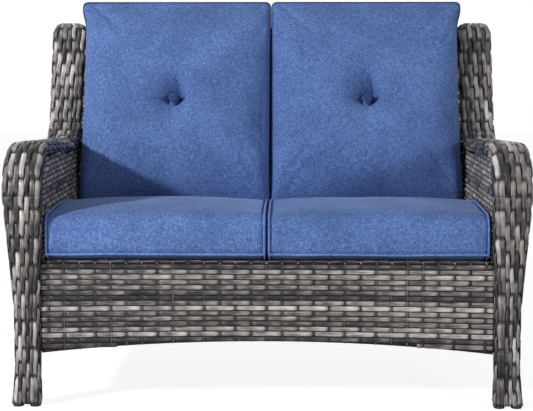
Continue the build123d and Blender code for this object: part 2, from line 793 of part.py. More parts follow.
def back_piping_line():
    """Closed line round the rear edge of the back cushion."""
    half = seat_cushion_width / 2 - back_piping_sink
    waist = half * back_width_shares[4]
    bottom, top = back_piping_sink, back_cushion_height - back_piping_sink
    rear = back_cushion_depth * back_rear_shares[1] + piping_size / 2
    high_rear = back_cushion_depth * back_rear_shares[7] + piping_size / 2
    corners = [(-half, bottom, rear), (half, bottom, rear), (waist, top / 2, rear / 2),
               (half - back_piping_sink, top, high_rear), (back_piping_sink - half, top, high_rear),
               (-waist, top / 2, rear / 2)]
    points = [cushion_foot.from_local_coords((x, w, -v)) for x, v, w in corners]
    near, far = back_cushion_depth / 4, 4 * back_cushion_height
    return FilletPolyline(*points, radius=[near, near, far, near, near, far], close=True)


def piped(cushion, lines):
    """Cuts the grooves into the cushion, and makes the piping that lies in them."""
    cords = []
    for line in lines:
        cushion = cushion - rod(line, piping_size + 2 * fit_gap)
        cords.append(rod(line, piping_size))
    return cushion, cords


side_lines = [side_piping_line(x) for x in
              (seat_cushion_inner + seat_piping_inset, seat_cushion_outer - seat_piping_inset)]
seat_cushion, seat_piping = piped(seat_cushion, side_lines + [front_piping_line()])
back_cushion, back_piping = piped(back_cushion, [back_piping_line()])

os.makedirs("parts", exist_ok=True)
for side, turn in (("left", mirrored), ("right", lambda shape: shape)):
    write(f"{side}_leg_weave", turn(leg_weave))
    write(f"{side}_arm_weave", turn(arm_weave))
    write(f"{side}_wing_weave", turn(wing_weave))
    write(f"{side}_rear_leg_weave", turn(rear_leg_weave))
    write(f"{side}_outer_hoop", turn(outer_hoop))
    write(f"{side}_inner_hoop", turn(inner_hoop))
    write(f"{side}_rear_leg_tubes", *[turn(tube) for tube in rear_leg_tubes])
    write(f"{side}_hoop_ties", *[turn(tie) for tie in ties])
    write(f"{side}_inner_panel_weave", turn(inner_panel))
    write(f"{side}_outer_panel_weave", turn(outer_panel))
    write(f"{side}_low_rails", turn(inner_low_rail), turn(outer_low_rail))
    write(f"{side}_seat_rail", turn(side_seat_rail))
    write(f"{side}_seat_cushion", turn(seat_cushion))
    write(f"{side}_seat_piping", *[turn(cord) for cord in seat_piping])
    write(f"{side}_seat_foam", turn(foam))
    write(f"{side}_back_cushion", turn(back_cushion))
    write(f"{side}_back_piping", *[turn(cord) for cord in back_piping])
    write(f"{side}_front_button", turn(front_button))
    write(f"{side}_rear_button", turn(rear_button))
    write(f"{side}_tuft_twine", turn(twine))
write("foot_glides", *glides, *[mirrored(piece) for piece in glides])
write("seat_front_rail", seat_front_rail)
write("seat_rear_rail", seat_rear_rail)
write("seat_side_rails", seat_side_rail, mirrored(seat_side_rail))
write("seat_cross_tubes", *cross_tubes)
write("apron_arch_rail", apron_arch_rail)
write("apron_struts", *apron_struts)
write("front_apron_weave", front_apron)
write("rear_apron_weave", rear_apron)
write("rear_low_rail", rear_low_rail)
write("rear_apron_struts", *rear_struts)
write("seat_deck_weave", seat_deck)
write("back_bottom_rail", back_bottom_rail)
write("back_top_rail", back_top_rail)
write("back_uprights", *back_uprights)
write("back_weave", back_weave)
write("bolts", *bolts)
write("washers", *washers)
write("threaded_inserts", *inserts)
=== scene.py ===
# %% [markdown]
# # A patio loveseat in woven resin
#
# The real loveseat is a bolted steel frame. Flat resin strands are woven over it by hand, and four
# loose cushions in blue cloth lie on it. The steel is already there as fixed parts, so this lesson
# makes what the eye sees: it weaves every skin strand by strand, and pads, seams and buttons the
# cushions. Blender works in metres, and the sizes here are millimetres times MM.

# %% Load the frame
import json

import bpy
import numpy as np
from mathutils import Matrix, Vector


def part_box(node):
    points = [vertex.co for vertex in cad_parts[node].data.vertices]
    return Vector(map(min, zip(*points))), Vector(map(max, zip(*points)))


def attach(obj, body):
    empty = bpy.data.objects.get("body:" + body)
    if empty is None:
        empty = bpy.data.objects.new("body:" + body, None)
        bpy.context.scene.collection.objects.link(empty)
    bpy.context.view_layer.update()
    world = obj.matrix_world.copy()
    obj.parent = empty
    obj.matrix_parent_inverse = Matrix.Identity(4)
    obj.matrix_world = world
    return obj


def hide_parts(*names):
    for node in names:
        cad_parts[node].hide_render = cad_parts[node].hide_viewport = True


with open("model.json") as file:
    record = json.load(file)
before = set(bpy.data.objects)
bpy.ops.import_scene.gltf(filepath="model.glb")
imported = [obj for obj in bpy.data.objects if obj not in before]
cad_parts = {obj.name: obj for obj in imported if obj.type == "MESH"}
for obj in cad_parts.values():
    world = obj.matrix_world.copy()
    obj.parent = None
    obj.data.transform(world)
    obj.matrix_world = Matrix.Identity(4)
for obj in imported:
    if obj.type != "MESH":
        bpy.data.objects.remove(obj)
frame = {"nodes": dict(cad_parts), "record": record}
scene = bpy.context.scene
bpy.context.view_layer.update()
MM = 0.001
SEED = 7
dice = np.random.default_rng(SEED)

# %% [markdown]
# ## Colours and shader nodes
#
# Colours are written as a person would pick them on a screen, in sRGB hex. Blender computes in
# linear light, so one function turns hex to linear. A second one adds a shader node, sets its
# values and links its inputs, and every material below is built with it.

# %% Colour and node helpers
def linear(code):
    """Linear colour of an sRGB hex code: below 0.04045 a straight line, above it a power of 2.4."""
    srgb = np.array([int(code[i:i + 2], 16) for i in (1, 3, 5)]) / 255
    light = np.where(srgb <= 0.04045, srgb / 12.92, ((srgb + 0.055) / 1.055) ** 2.4)
    return (*light.tolist(), 1.0)


def add(tree, kind, inputs=None, **settings):
    """Adds a node, applies its settings, and fills its inputs with values or links."""
    made = tree.nodes.new(kind)
    for name, value in settings.items():
        setattr(made, name, value)
    for name, value in (inputs or {}).items():
        socket = made.inputs[name]
        if isinstance(value, bpy.types.NodeSocket):
            tree.links.new(value, socket)
        else:
            socket.default_value = value
    return made


def new_material(name):
    """Empty material with its shader and output, and the tree to build on."""
    material = bpy.data.materials.new(name)
    material.use_nodes = True
    tree = material.node_tree
    shader = tree.nodes["Principled BSDF"]
    return material, tree, shader


def ramp(tree, factor, stops):
    """Colour ramp through (position, hex colour) stops."""
    made = add(tree, "ShaderNodeValToRGB", {"Fac": factor})
    band = made.color_ramp
    while len(band.elements) < len(stops):
        band.elements.new(0.5)
    for element, (position, code) in zip(band.elements, stops):
        element.position = position
        element.color = linear(code)
    return made.outputs["Color"]


# %% [markdown]
# ## The resin strand
#
# The strands are extruded polyethylene, 11 mm wide and slightly domed, coloured in the melt so that
# greys and browns run along each strand in fine streaks. The streaks follow the strand, so the
# pattern reads the strand's own UV map, where U is the distance along it and V the distance across,
# both in metres. Each strand also carries a tone of its own, because the weaver works with several
# batches, and a painted shade that darkens its colour where it dives under its neighbours.

# %% Resin strand material
STREAK_LENGTH = 60 * MM
STREAK_WIDTH = 2.2 * MM


def resin_strand():
    material, tree, shader = new_material("extruded resin strand")
    uv = add(tree, "ShaderNodeUVMap", uv_map="strand").outputs["UV"]
    streaks_at = add(tree, "ShaderNodeMapping", {
        "Vector": uv, "Scale": (1 / STREAK_LENGTH, 1 / STREAK_WIDTH, 1)}).outputs["Vector"]
    streaks = add(tree, "ShaderNodeTexNoise", {"Vector": streaks_at, "Scale": 1.0, "Detail": 3.0,
                                               "Roughness": 0.6}).outputs["Fac"]
    blotches_at = add(tree, "ShaderNodeMapping", {
        "Vector": uv, "Scale": (1 / (0.4 * STREAK_LENGTH), 1 / (3 * STREAK_WIDTH), 1)}).outputs["Vector"]
    blotches = add(tree, "ShaderNodeTexNoise", {"Vector": blotches_at, "Scale": 1.0,
                                                "Detail": 1.0}).outputs["Fac"]
    tone = add(tree, "ShaderNodeAttribute", attribute_name="tone").outputs["Fac"]
    streaky = add(tree, "ShaderNodeMath", {0: streaks, 1: 0.70, 2: tone}, operation="MULTIPLY_ADD")
    mixed = add(tree, "ShaderNodeMath", {0: blotches, 1: 0.32, 2: streaky.outputs[0]},
                operation="MULTIPLY_ADD")
    colour = ramp(tree, mixed.outputs[0], [
        (0.24, "#29282e"), (0.41, "#555053"), (0.55, "#857f7d"), (0.69, "#aea8a4"), (0.88, "#dcd8d4")])
    # The shade attribute is painted shade, multiplied into the colour where strands dive and at brick ends.
    shade = add(tree, "ShaderNodeAttribute", attribute_name="shade").outputs["Fac"]
    painted_shade_mix = add(tree, "ShaderNodeMix", {0: 1.0, 6: colour, 7: shade}, data_type="RGBA",
                blend_type="MULTIPLY")
    tree.links.new(painted_shade_mix.outputs[2], shader.inputs["Base Color"])
    grain = add(tree, "ShaderNodeBump", {"Height": streaks, "Strength": 0.35, "Distance": 0.4 * MM})
    tree.links.new(grain.outputs["Normal"], shader.inputs["Normal"])
    rough = add(tree, "ShaderNodeMapRange", {"Value": streaks, "To Min": 0.26, "To Max": 0.46})
    tree.links.new(rough.outputs["Result"], shader.inputs["Roughness"])
    shader.inputs["IOR"].default_value = 1.5
    shader.inputs["Specular IOR Level"].default_value = 0.35
    return material


def painted_shade_liner():
    """Painted shade inside the weave: near-black resin colour standing in for the shadow seen through gaps
    of a millimetre or two.
    """
    material, tree, shader = new_material("shaded resin behind the weave")
    at = add(tree, "ShaderNodeTexCoord").outputs["Object"]
    mottle = add(tree, "ShaderNodeTexNoise", {"Vector": at, "Scale": 120.0, "Detail": 2.0}).outputs["Fac"]
    tree.links.new(ramp(tree, mottle, [(0.3, "#0c0b0b"), (0.7, "#262322")]), shader.inputs["Base Color"])
    shader.inputs["Roughness"].default_value = 0.9
    return material


STRAND = resin_strand()
SHADE_LINER = painted_shade_liner()

# %% [markdown]
# ## Finishes of the fixed parts
#
# Tubes, screws, glides, foam and twine keep their fixed shapes, and each gets the finish that its
# factory gives it. Powder coat melts into a fine orange peel. Zinc plating is a bright metal with cloudy
# passivation. Moulded polyethylene is waxy, cut foam is full of cells, and waxed twine has a twist.

# %% Steel, zinc, polyethylene, foam and twine
def grained(name, size, deep, pale, rough, bump, metallic=0.0, squeeze=(1, 1, 1)):
    """Material with noise of a real grain size, which sets the colour between two, and the bump."""
    material, tree, shader = new_material(name)
    at = add(tree, "ShaderNodeTexCoord").outputs["Object"]
    spread = add(tree, "ShaderNodeMapping", {"Vector": at, "Scale": tuple(v / size for v in squeeze)})
    grain = add(tree, "ShaderNodeTexNoise", {"Vector": spread.outputs[0], "Scale": 1.0, "Detail": 3.0,
                                             "Roughness": 0.6}).outputs["Fac"]
    tree.links.new(ramp(tree, grain, [(0.35, deep), (0.65, pale)]), shader.inputs["Base Color"])
    relief = add(tree, "ShaderNodeBump", {"Height": grain, "Strength": 0.4, "Distance": bump})
    tree.links.new(relief.outputs["Normal"], shader.inputs["Normal"])
    wear = add(tree, "ShaderNodeMapRange", {"Value": grain, "To Min": rough - 0.08, "To Max": rough + 0.08})
    tree.links.new(wear.outputs["Result"], shader.inputs["Roughness"])
    shader.inputs["Metallic"].default_value = metallic
    return material


FINISHES = {
    "steel_frame": grained("grey powder coated steel", 2.5 * MM, "#262424", "#383534", 0.42, 0.15 * MM),
    "fasteners": grained("zinc plated steel", 6 * MM, "#8f9396", "#b9bdc0", 0.34, 0.05 * MM, 1.0),
    "glide_plastic": grained("moulded black polyethylene", 1.5 * MM, "#0f0f10", "#1e1e1f", 0.55, 0.2 * MM),
    "cushion_filling": grained("cut polyurethane foam", 1.2 * MM, "#d8d3bd", "#f2eedd", 0.95, 0.8 * MM),
    "button_twine": grained("waxed polyester twine", 1.0 * MM, "#2b3f78", "#4763a8", 0.6, 0.3 * MM,
                            squeeze=(1, 0.3, 1)),
}
for subpart in frame["record"]["subparts"]:
    if subpart["material_slot"] in FINISHES:
        fixed_mesh = frame["nodes"][subpart["node"]].data
        fixed_mesh.materials.clear()
        fixed_mesh.materials.append(FINISHES[subpart["material_slot"]])
print(len(FINISHES), "finishes for the fixed parts")

# %% [markdown]
# ## Grids of points
#
# Every woven piece is a few hundred strands, and each strand is a grid of points: stations along it
# and a ring of points round it. All strands of one direction are worked out in one array, and
# one function turns such arrays into faces. A strand's ring is a flat lens with soft shoulders,
# which takes the light as a domed strand does, for only eight points.

# %% Strand section and mesh builder
RING = np.array([(0.0, -0.8), (0.62, -0.75), (1.0, 0.0), (0.72, 0.75),
                 (0.0, 1.0), (-0.72, 0.75), (-1.0, 0.0), (-0.62, -0.75)])


class Cloth:
    """Collects grids of points as one mesh, with a UV map, a tone and a painted shade at each point."""

    def __init__(self):
        self.points, self.quads, self.uvs, self.tones, self.shades, self.slots = [], [], [], [], [], []
        self.count = 0

    def grid(self, points, uv, tone, shade, slot):
        """Adds grids of shape (how many, stations, ring, 3), closed round the ring, with flat ends.

        The signed volume tells which way the faces turn, and they are turned to point outwards."""
        many, stations, ring, _ = points.shape
        index = np.arange(many * stations * ring).reshape(many, stations, ring) + self.count
        after = np.roll(index, -1, axis=2)
        sides = np.stack([index[:, :-1], after[:, :-1], after[:, 1:], index[:, 1:]], axis=-1).reshape(-1, 4)
        faces = [sides]
        for station, order in ((0, [3, 2, 1, 0]), (stations - 1, [0, 1, 2, 3])):
            ends = index[:, station]
            strips = [ends[:, [a, a + 1, ring - 2 - a, ring - 1 - a]] for a in range(ring // 2 - 1)]
            faces.append(np.concatenate(strips)[:, order])
        faces = np.concatenate(faces)
        corners = points.reshape(-1, 3)[faces - self.count]
        volume = np.einsum("ij,ij->", corners[:, 0], np.cross(corners[:, 1], corners[:, 2])
                           ) + np.einsum("ij,ij->", corners[:, 0], np.cross(corners[:, 2], corners[:, 3]))
        if volume < 0:
            faces = faces[:, ::-1]
        self.points.append(points.reshape(-1, 3))
        self.quads.append(faces)
        self.uvs.append(np.broadcast_to(uv, points.shape[:3] + (2,)).reshape(-1, 2))
        self.tones.append(np.broadcast_to(tone, points.shape[:3]).reshape(-1))
        self.shades.append(np.broadcast_to(shade, points.shape[:3]).reshape(-1))
        self.slots.append(np.full(len(faces), slot))
        self.count += points.shape[0] * stations * ring

    def piece(self, name, materials):
        """Writes the collected grids into a new object."""
        points, quads = np.concatenate(self.points), np.concatenate(self.quads)
        mesh = bpy.data.meshes.new(name)
        mesh.vertices.add(len(points))
        mesh.vertices.foreach_set("co", points.astype(np.float32).ravel())
        mesh.loops.add(quads.size)
        mesh.loops.foreach_set("vertex_index", quads.astype(np.int32).ravel())
        mesh.polygons.add(len(quads))
        mesh.polygons.foreach_set("loop_start", np.arange(0, quads.size, 4, dtype=np.int32))
        mesh.polygons.foreach_set("material_index", np.concatenate(self.slots).astype(np.int32))
        mesh.update(calc_edges=True)
        mesh.shade_smooth()
        uv = mesh.uv_layers.new(name="strand")
        uv.data.foreach_set("uv", np.concatenate(self.uvs)[quads.ravel()].astype(np.float32).ravel())
        for title, values in (("tone", self.tones), ("shade", self.shades)):
            attribute = mesh.attributes.new(title, "FLOAT", "POINT")
            attribute.data.foreach_set("value", np.concatenate(values).astype(np.float32))
        for material in materials:
            mesh.materials.append(material)
        made = bpy.data.objects.new(name, mesh)
        bpy.context.scene.collection.objects.link(made)
        print(f"{name}: {2 * len(quads)} triangles")
        return made


# %% [markdown]
# ## How a plain weave moves
#
# Rows pass over one stake and dive behind the next, and the row beside does the opposite. A row
# is nearly straight while it is over, and dives in a few millimetres, which leaves the long bricks
# with short dark ends that make the look of this furniture. So its height is one, less a bell
# curve at each dive. A sheet is any function that takes the distance along the
# rows, the distance across them and a height above the surface, and gives a point in space.

# %% Weaving on a sheet
ROW_WIDTH = 11.0 * MM
ROW_THICK = 3.0 * MM
ROW_PITCH = 12.7 * MM
BRICK = 77 * MM
STAKE_WIDTH = 2.8 * MM
STAKE_THICK = 2.4 * MM
SWING = 1.5 * MM
DIVE = 2.2
NARROW = 0.78
WAVES = (43 * MM, 110 * MM)
END_SHADOW_TONE = 0.09
CHANCES = 997
STAKE_SWING = 0.45
# Tones of the batches, read row by row down the apron from its top. The first and darkest lands on the
# apron's top row under the seat's overhang, and is partly painted shade there.
ROW_TONES = (-0.24, 0.02, 0.12, 0.00, 0.04, -0.08, -0.22, 0.02,
             0.16, 0.06, -0.02, -0.06, 0.10, 0.14, -0.20)


def tones_for(count, offset, luck):
    """Tone of each strand: a slow pattern of light and dark batches, plus a little chance."""
    batch = np.array(ROW_TONES)[(np.arange(count) + offset) % len(ROW_TONES)]
    return batch + luck.normal(0, 0.04, count)


def dive(phase, gap):
    """Height of a row, 1 over and -1.2 under, low near whole phases: 1 - 2.2 exp(-(distance / gap)^2)."""
    away = np.abs((phase + 0.5) % 1 - 0.5)
    return 1 - DIVE * np.exp(-(away / gap) ** 2)


def stretched(places, starts, ends, step):
    """The places as an array, and distances along each strand from start to end, a step apart."""
    places, starts, ends = [np.asarray(v, float) for v in (places, starts, ends)]
    count = max(int(np.max(ends - starts) / step) + 1, 4)
    return places, starts[:, None] + (ends - starts)[:, None] * np.linspace(0, 1, count)


def rows(cloth, sheet, places, starts, ends, step=5 * MM, brick=BRICK, gap=0.065, width=ROW_WIDTH,
         batch=0, parity=0, lean=0.0, thick=ROW_THICK, swing=SWING, mottle=0.06, luck=dice,
         wander=0.0, fade=None, batches=1.0):
    """Strands along the sheet at the given places across it, each from its start to its end.

    Each strand is a little wider or narrower than the next and wanders by slow sine waves. Its tone
    is its batch's, plus the mottle of each brick, the fade along the piece, and a sine that leaves
    one end of every brick darker than the other, as a painted shadow of the neighbouring brick. Its
    painted shade darkens it where it dives and towards the ends of each brick."""
    places, along = stretched(places, starts, ends, step)
    many = len(places)
    phase = along / brick + ((np.arange(many)[:, None] + parity) % 2) * 0.5
    height = dive(phase, gap)
    over = np.clip((height - 1 + DIVE) / DIVE, 0, 1)
    bulge = np.abs(np.sin(np.pi * phase)) ** 0.3
    half = width / 2 * (NARROW + (1 - NARROW) * bulge) * luck.normal(1, 0.05, many)[:, None]
    sway = lean * np.sin(2 * np.pi * phase)
    for wave in WAVES:
        sway = sway + wander * np.sin(2 * np.pi * along / wave + luck.uniform(0, 2 * np.pi, many)[:, None])
    across = places[:, None, None] + sway[..., None] + half[..., None] * RING[:, 0]
    lift = (height * swing)[..., None] + thick / 2 * RING[:, 1]
    points = sheet(np.broadcast_to(along[..., None], across.shape), across, lift)
    chances = luck.normal(0, mottle, CHANCES)
    brick_tone = chances[(np.floor(phase) + 40 * np.arange(many)[:, None]).astype(int) % CHANCES]
    tone = batches * tones_for(many, batch, luck)[:, None] + brick_tone
    # This sine is a painted shadow: it darkens one end of every brick, where the neighbouring brick would
    # cast its shadow.
    tone = tone + END_SHADOW_TONE * np.sin(2 * np.pi * (phase % 1 - 0.6))
    # Painted shade: the colour falls to 6 % where the strand dives and darkens towards the ends of each
    # brick.
    shade = 0.06 + 0.94 * over * (0.66 + 0.34 * bulge)
    if fade is not None:
        tone = tone + fade(along)
    u = along + luck.uniform(0, 9, many)[:, None]
    v = np.broadcast_to(np.linspace(-1, 1, len(RING)) * width + 0.05 * np.arange(many)[:, None, None],
                        across.shape)
    uv = np.stack([np.broadcast_to(u[..., None], across.shape), v], axis=-1)
    cloth.grid(points, uv, tone[..., None], shade[..., None], 0)


def stakes(cloth, sheet, places, starts, ends, first_row, pitch=ROW_PITCH, step=4.2 * MM,
           width=STAKE_WIDTH, tone=0.22, shade=0.85, swing=SWING):
    """Thinner strands across the rows, where the rows dive: each is over where a row is under."""
    places, along = stretched(places, starts, ends, step)
    many = len(places)
    wave = np.cos(np.pi * ((along - first_row) / pitch + np.arange(many)[:, None] % 2))
    lift = (wave * swing * STAKE_SWING)[..., None] + STAKE_THICK / 2 * RING[:, 1]
    across = np.broadcast_to(places[:, None, None] + width / 2 * RING[:, 0], lift.shape)
    points = sheet(across, np.broadcast_to(along[..., None], lift.shape), lift)
    tones = tone + dice.normal(0, 0.06, many)
    u = along + dice.uniform(0, 9, many)[:, None]
    uv = np.stack([np.broadcast_to(u[..., None], lift.shape),
                   np.broadcast_to(RING[:, 0] * width, lift.shape)], axis=-1)
    # The shade given to the stakes is painted shade, a fixed darkening of their colour.
    cloth.grid(points, uv, tones[:, None, None], shade, 0)


def stake_places(low, high, brick=BRICK):
    """Stakes every half brick, as whole multiples, so that rows and stakes agree."""
    return np.arange(np.ceil(low / brick * 2), np.floor(high / brick * 2) + 1) * brick / 2


def first_parity(places, brick=BRICK):
    """Which of the first two rows dives under the first stake."""
    return int(round(places[0] / brick * 2)) % 2


def dress(cloth, name, node):
    """Makes the piece of a woven skin, which rides on the frame in place of its plain node."""
    made = cloth.piece(name, [STRAND, SHADE_LINER])
    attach(made, "root")
    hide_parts(node)


# %% [markdown]
# ## The line of the side frame
#
# Seen from the side, each woven band runs up the front leg, rolls back over the arm and climbs the
# back post in one line of straight runs and bends. The line is worked out as a designer draws
# it: corners joined by tangent arcs, each cut back from its corner by its radius times the
# tangent of half the turn. It is then read back at any distance along itself.

# %% Sizes of the frame
RECLINE = np.radians(15)
DEPTH = 760 * MM
BAND = 29.6 * MM
HALF_BAND = BAND / 2
WING_TOP, ARM_FRONT, ARM_REAR = 957 * MM, 641 * MM, 612 * MM
GLIDE = 6 * MM
CORNER = 27 * MM
foot_y = -DEPTH / 2 + HALF_BAND + 7.5 * MM
wing_y = DEPTH / 2 - HALF_BAND * np.cos(RECLINE)
rise_y = wing_y - (WING_TOP - ARM_REAR) * np.tan(RECLINE)
SIDE_CORNERS = [(foot_y, GLIDE), (foot_y + 12 * MM, 165 * MM),
                (-DEPTH / 2 + HALF_BAND - 5.5 * MM, ARM_FRONT), (rise_y, ARM_REAR),
                (wing_y - CORNER * np.tan(RECLINE), WING_TOP - CORNER)]
SIDE_RADII = [1300 * MM, 105 * MM, 100 * MM]
SIDE_EDGES = [(560, 632), (562, 624), (549, 645), (548, 641), (540, 638)]
REAR_CORNERS = [(312 * MM, GLIDE), (236 * MM, 300 * MM), (rise_y - 2 * MM, ARM_REAR + 18 * MM)]
REAR_RADII = [260 * MM]
REAR_EDGES = [(562, 624), (557, 624), (551, 624)]


def rounded_line(corners, radii, edges, step=1 * MM):
    """Samples a line of runs and tangent arcs: distances, points, directions, inner and outer edge."""
    corners = [np.array(c) for c in corners]
    points, inner, outer = [corners[0]], [edges[0][0]], [edges[0][1]]
    for k, radius in enumerate(radii, 1):
        way = (corners[k] - corners[k - 1]) / np.linalg.norm(corners[k] - corners[k - 1])
        next_way = (corners[k + 1] - corners[k]) / np.linalg.norm(corners[k + 1] - corners[k])
        turn = np.arctan2(way[0] * next_way[1] - way[1] * next_way[0], way @ next_way)
        start = corners[k] - way * radius * np.tan(abs(turn) / 2)
        side = np.array([-way[1], way[0]]) * np.sign(turn)
        angles = np.linspace(0, abs(turn), max(int(radius * abs(turn) / step), 2))[:, None]
        arc = start + radius * (way * np.sin(angles) + side * (1 - np.cos(angles)))
        run = points[-1][None] + (start - points[-1]) * np.linspace(0, 1, max(int(np.linalg.norm(
            start - points[-1]) / step), 2))[1:-1, None]
        points += list(run) + list(arc)
        inner += list(np.linspace(inner[-1], edges[k][0], len(run) + 2)[1:-1]) + [edges[k][0]] * len(arc)
        outer += list(np.linspace(outer[-1], edges[k][1], len(run) + 2)[1:-1]) + [edges[k][1]] * len(arc)
    run = points[-1][None] + (corners[-1] - points[-1]) * np.linspace(0, 1, int(np.linalg.norm(
        corners[-1] - points[-1]) / step))[1:, None]
    points += list(run)
    inner += list(np.linspace(inner[-1], edges[-1][0], len(run) + 1)[1:])
    outer += list(np.linspace(outer[-1], edges[-1][1], len(run) + 1)[1:])
    points = np.array(points)
    reach = np.concatenate([[0], np.cumsum(np.linalg.norm(np.diff(points, axis=0), axis=1))])
    ways = np.gradient(points, reach, axis=0)
    ways /= np.linalg.norm(ways, axis=1)[:, None]
    return {"reach": reach, "points": points, "ways": ways, "inner": np.array(inner) * MM,
            "outer": np.array(outer) * MM, "length": reach[-1]}


side_line = rounded_line(SIDE_CORNERS, SIDE_RADII, SIDE_EDGES)
rear_line = rounded_line(REAR_CORNERS, REAR_RADII, REAR_EDGES)
print("side band", round(side_line["length"], 3), "m long, rear leg", round(rear_line["length"], 3), "m")

# %% [markdown]
# ## The band as a sheet
#
# The band's section is a stadium: two flats joined by half circles. A share of the way round it
# gives a point and the direction that faces outwards there. At the top of the wing the section
# shrinks round a quarter circle, so the strands curl over the end of the post as woven ones do.

# %% Band sheet
ROUND = 210 * MM
CROWN = 5 * MM
ARM_HEIGHTS, ARM_DEPTHS = (0.55, 0.62), (0.0, 0.2)
WING_CURL, CURL_LIMIT = np.radians(76), np.radians(80)


def stadium(share, flat, radius):
    """Point and outward direction at a share of the way round two flats and two half circles."""
    way = share * (2 * flat + 2 * np.pi * radius)
    first = np.clip(way, 0, flat)
    turn_one = np.clip((way - flat) / radius, 0, np.pi)
    second = np.clip(way - flat - np.pi * radius, 0, flat)
    turn_two = np.clip((way - 2 * flat - np.pi * radius) / radius, 0, np.pi)
    turn = turn_one + turn_two
    place = -flat / 2 + first - second + radius * np.sin(turn)
    return place, radius * np.cos(turn), np.sin(turn), np.cos(turn)


def band_sheet(line, sign, sunk):
    """Sheet of a woven band: along is the distance on its line, across the distance round it.

    Past the line's end the section shrinks by a cosine while it moves on by a sine. Over the arm
    the section bends down towards its edges, by the square of the distance from its middle."""
    def sheet(along, across, height):
        turn = np.clip((along - line["length"]) / CORNER, 0, CURL_LIMIT)
        s = np.minimum(along, line["length"])
        y, z = [np.interp(s, line["reach"], line["points"][:, i]) for i in (0, 1)]
        dy, dz = [np.interp(s, line["reach"], line["ways"][:, i]) for i in (0, 1)]
        inner, outer = [np.interp(s, line["reach"], line[edge]) for edge in ("inner", "outer")]
        width = outer - inner - 2 * CORNER * (1 - np.cos(turn))
        thick = BAND * (1 + 2 * np.cos(turn)) / 3
        x, n, out_x, out_n = stadium((across / ROUND) % 1, width - thick, thick / 2)
        rise = height - sunk
        arm = np.interp(z, ARM_HEIGHTS, (0, 1)) * np.interp(y, ARM_DEPTHS, (1, 0))
        x = x + rise * out_x * np.cos(turn)
        n = n + rise * out_n * np.cos(turn) - CROWN * arm * (2 * x / width) ** 2
        forward = CORNER * np.sin(turn) + rise * np.sin(turn)
        middle = (inner + outer) / 2
        return np.stack([sign * (middle + x), y - n * dz + forward * dy, z + n * dy + forward * dz],
                        axis=-1)
    return sheet


def lining(cloth, sheet, along, low, high, steps, deep=0.4 * MM):
    """Closed layer of painted shade in the middle of the weave, between two edges that may vary along it.
    """
    share = np.linspace(0, 1, steps)
    across = np.asarray(low)[:, None] + (np.asarray(high) - np.asarray(low))[:, None] * share
    ring = np.concatenate([across, across[:, ::-1]], axis=1)[None]
    lift = np.concatenate([np.full(across.shape, -deep), np.full(across.shape, deep)], axis=1)[None]
    points = sheet(np.broadcast_to(np.asarray(along)[:, None], ring.shape[1:])[None], ring, lift)
    cloth.grid(points, np.zeros(2), 0.0, 1.0, 1)


def core(cloth, sheet, along, turns=28):
    """Closed tube of painted shade inside a band, which nothing shines through."""
    across = np.arange(turns) / turns * ROUND
    shape = (1, len(along), turns)
    points = sheet(np.broadcast_to(np.asarray(along)[None, :, None], shape),
                   np.broadcast_to(across, shape), np.zeros(shape))
    cloth.grid(points, np.zeros(2), 0.0, 1.0, 1)


# %% [markdown]
# ## Weaving the side frames
#
# Seventeen strands run along the band. Thin wraps go round it every 35 mm, over one and
# under the next, so the long ones show as bricks of 70 mm, each shifted by half from its
# neighbour. The band is divided into leg, arm and wing as the weaver works it, and the cut falls at
# the same distance along the line as the fixed part's.

# %% Weave the bands
BAND_ROWS = 17
BAND_BRICK = 70 * MM
BAND_SUNK = 1.6 * MM


def reach_at(line, axis, value, after=0.0):
    """Distance along the line where it first passes a value of Y (0) or Z (1), past a distance."""
    seen = line["points"][:, axis]
    passed = (seen >= value) & (line["reach"] > after)
    return line["reach"][np.argmax(passed)]


def weave_band(name, line, sign, start, end, node, seed):
    """One stretch of a band: long strands, wraps round it and a dark core.

    Stretches of one band share a seed, so that a strand keeps its tone from piece to piece."""
    sheet = band_sheet(line, sign, BAND_SUNK)
    cloth = Cloth()
    places = (np.arange(BAND_ROWS) + 0.5) / BAND_ROWS * ROUND
    rows(cloth, sheet, places, np.full(BAND_ROWS, start), np.full(BAND_ROWS, end), step=5.4 * MM,
         brick=BAND_BRICK, gap=0.085, width=ROUND / BAND_ROWS * 1.05, lean=1.5 * MM, thick=4.2 * MM,
         swing=2.2 * MM, mottle=0.14, luck=np.random.default_rng(seed), wander=0.45 * MM, batches=0.6,
         fade=lambda along: 0.05 * np.clip(along / rise_start, 0, 1) ** 3)
    wraps = stake_places(start, end, BAND_BRICK)
    if len(wraps):
        # The wraps take a strong painted shade, so they sink into the dark notches of the band.
        stakes(cloth, sheet, wraps, np.zeros(len(wraps)), np.full(len(wraps), ROUND * (1 - 1e-6)),
               first_row=places[first_parity(wraps, BAND_BRICK)], pitch=ROUND / BAND_ROWS,
               step=4.4 * MM, width=2.4 * MM, tone=-0.10, shade=0.28, swing=-1.2 * MM)
    core(cloth, sheet, np.linspace(start + 1 * MM, end - 0.5 * MM, int((end - start) / (8 * MM)) + 2))
    dress(cloth, name, node)


roll_start = reach_at(side_line, 1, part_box("right_leg_weave")[1].z)
rise_start = reach_at(side_line, 0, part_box("right_wing_weave")[0].y, roll_start)
wing_end = side_line["length"] + CORNER * WING_CURL
print("leg ends at", round(roll_start, 3), "and the wing starts at", round(rise_start, 3))
for word, sign, seed in (("left", -1, 101), ("right", 1, 202)):
    weave_band(f"{word}_leg_strands", side_line, sign, 0.0, roll_start, f"{word}_leg_weave", seed)
    weave_band(f"{word}_arm_strands", side_line, sign, roll_start, rise_start, f"{word}_arm_weave", seed)
    weave_band(f"{word}_wing_strands", side_line, sign, rise_start, wing_end, f"{word}_wing_weave", seed)
    weave_band(f"{word}_rear_leg_strands", rear_line, sign, 0.0, rear_line["length"],
               f"{word}_rear_leg_weave", seed + 1)

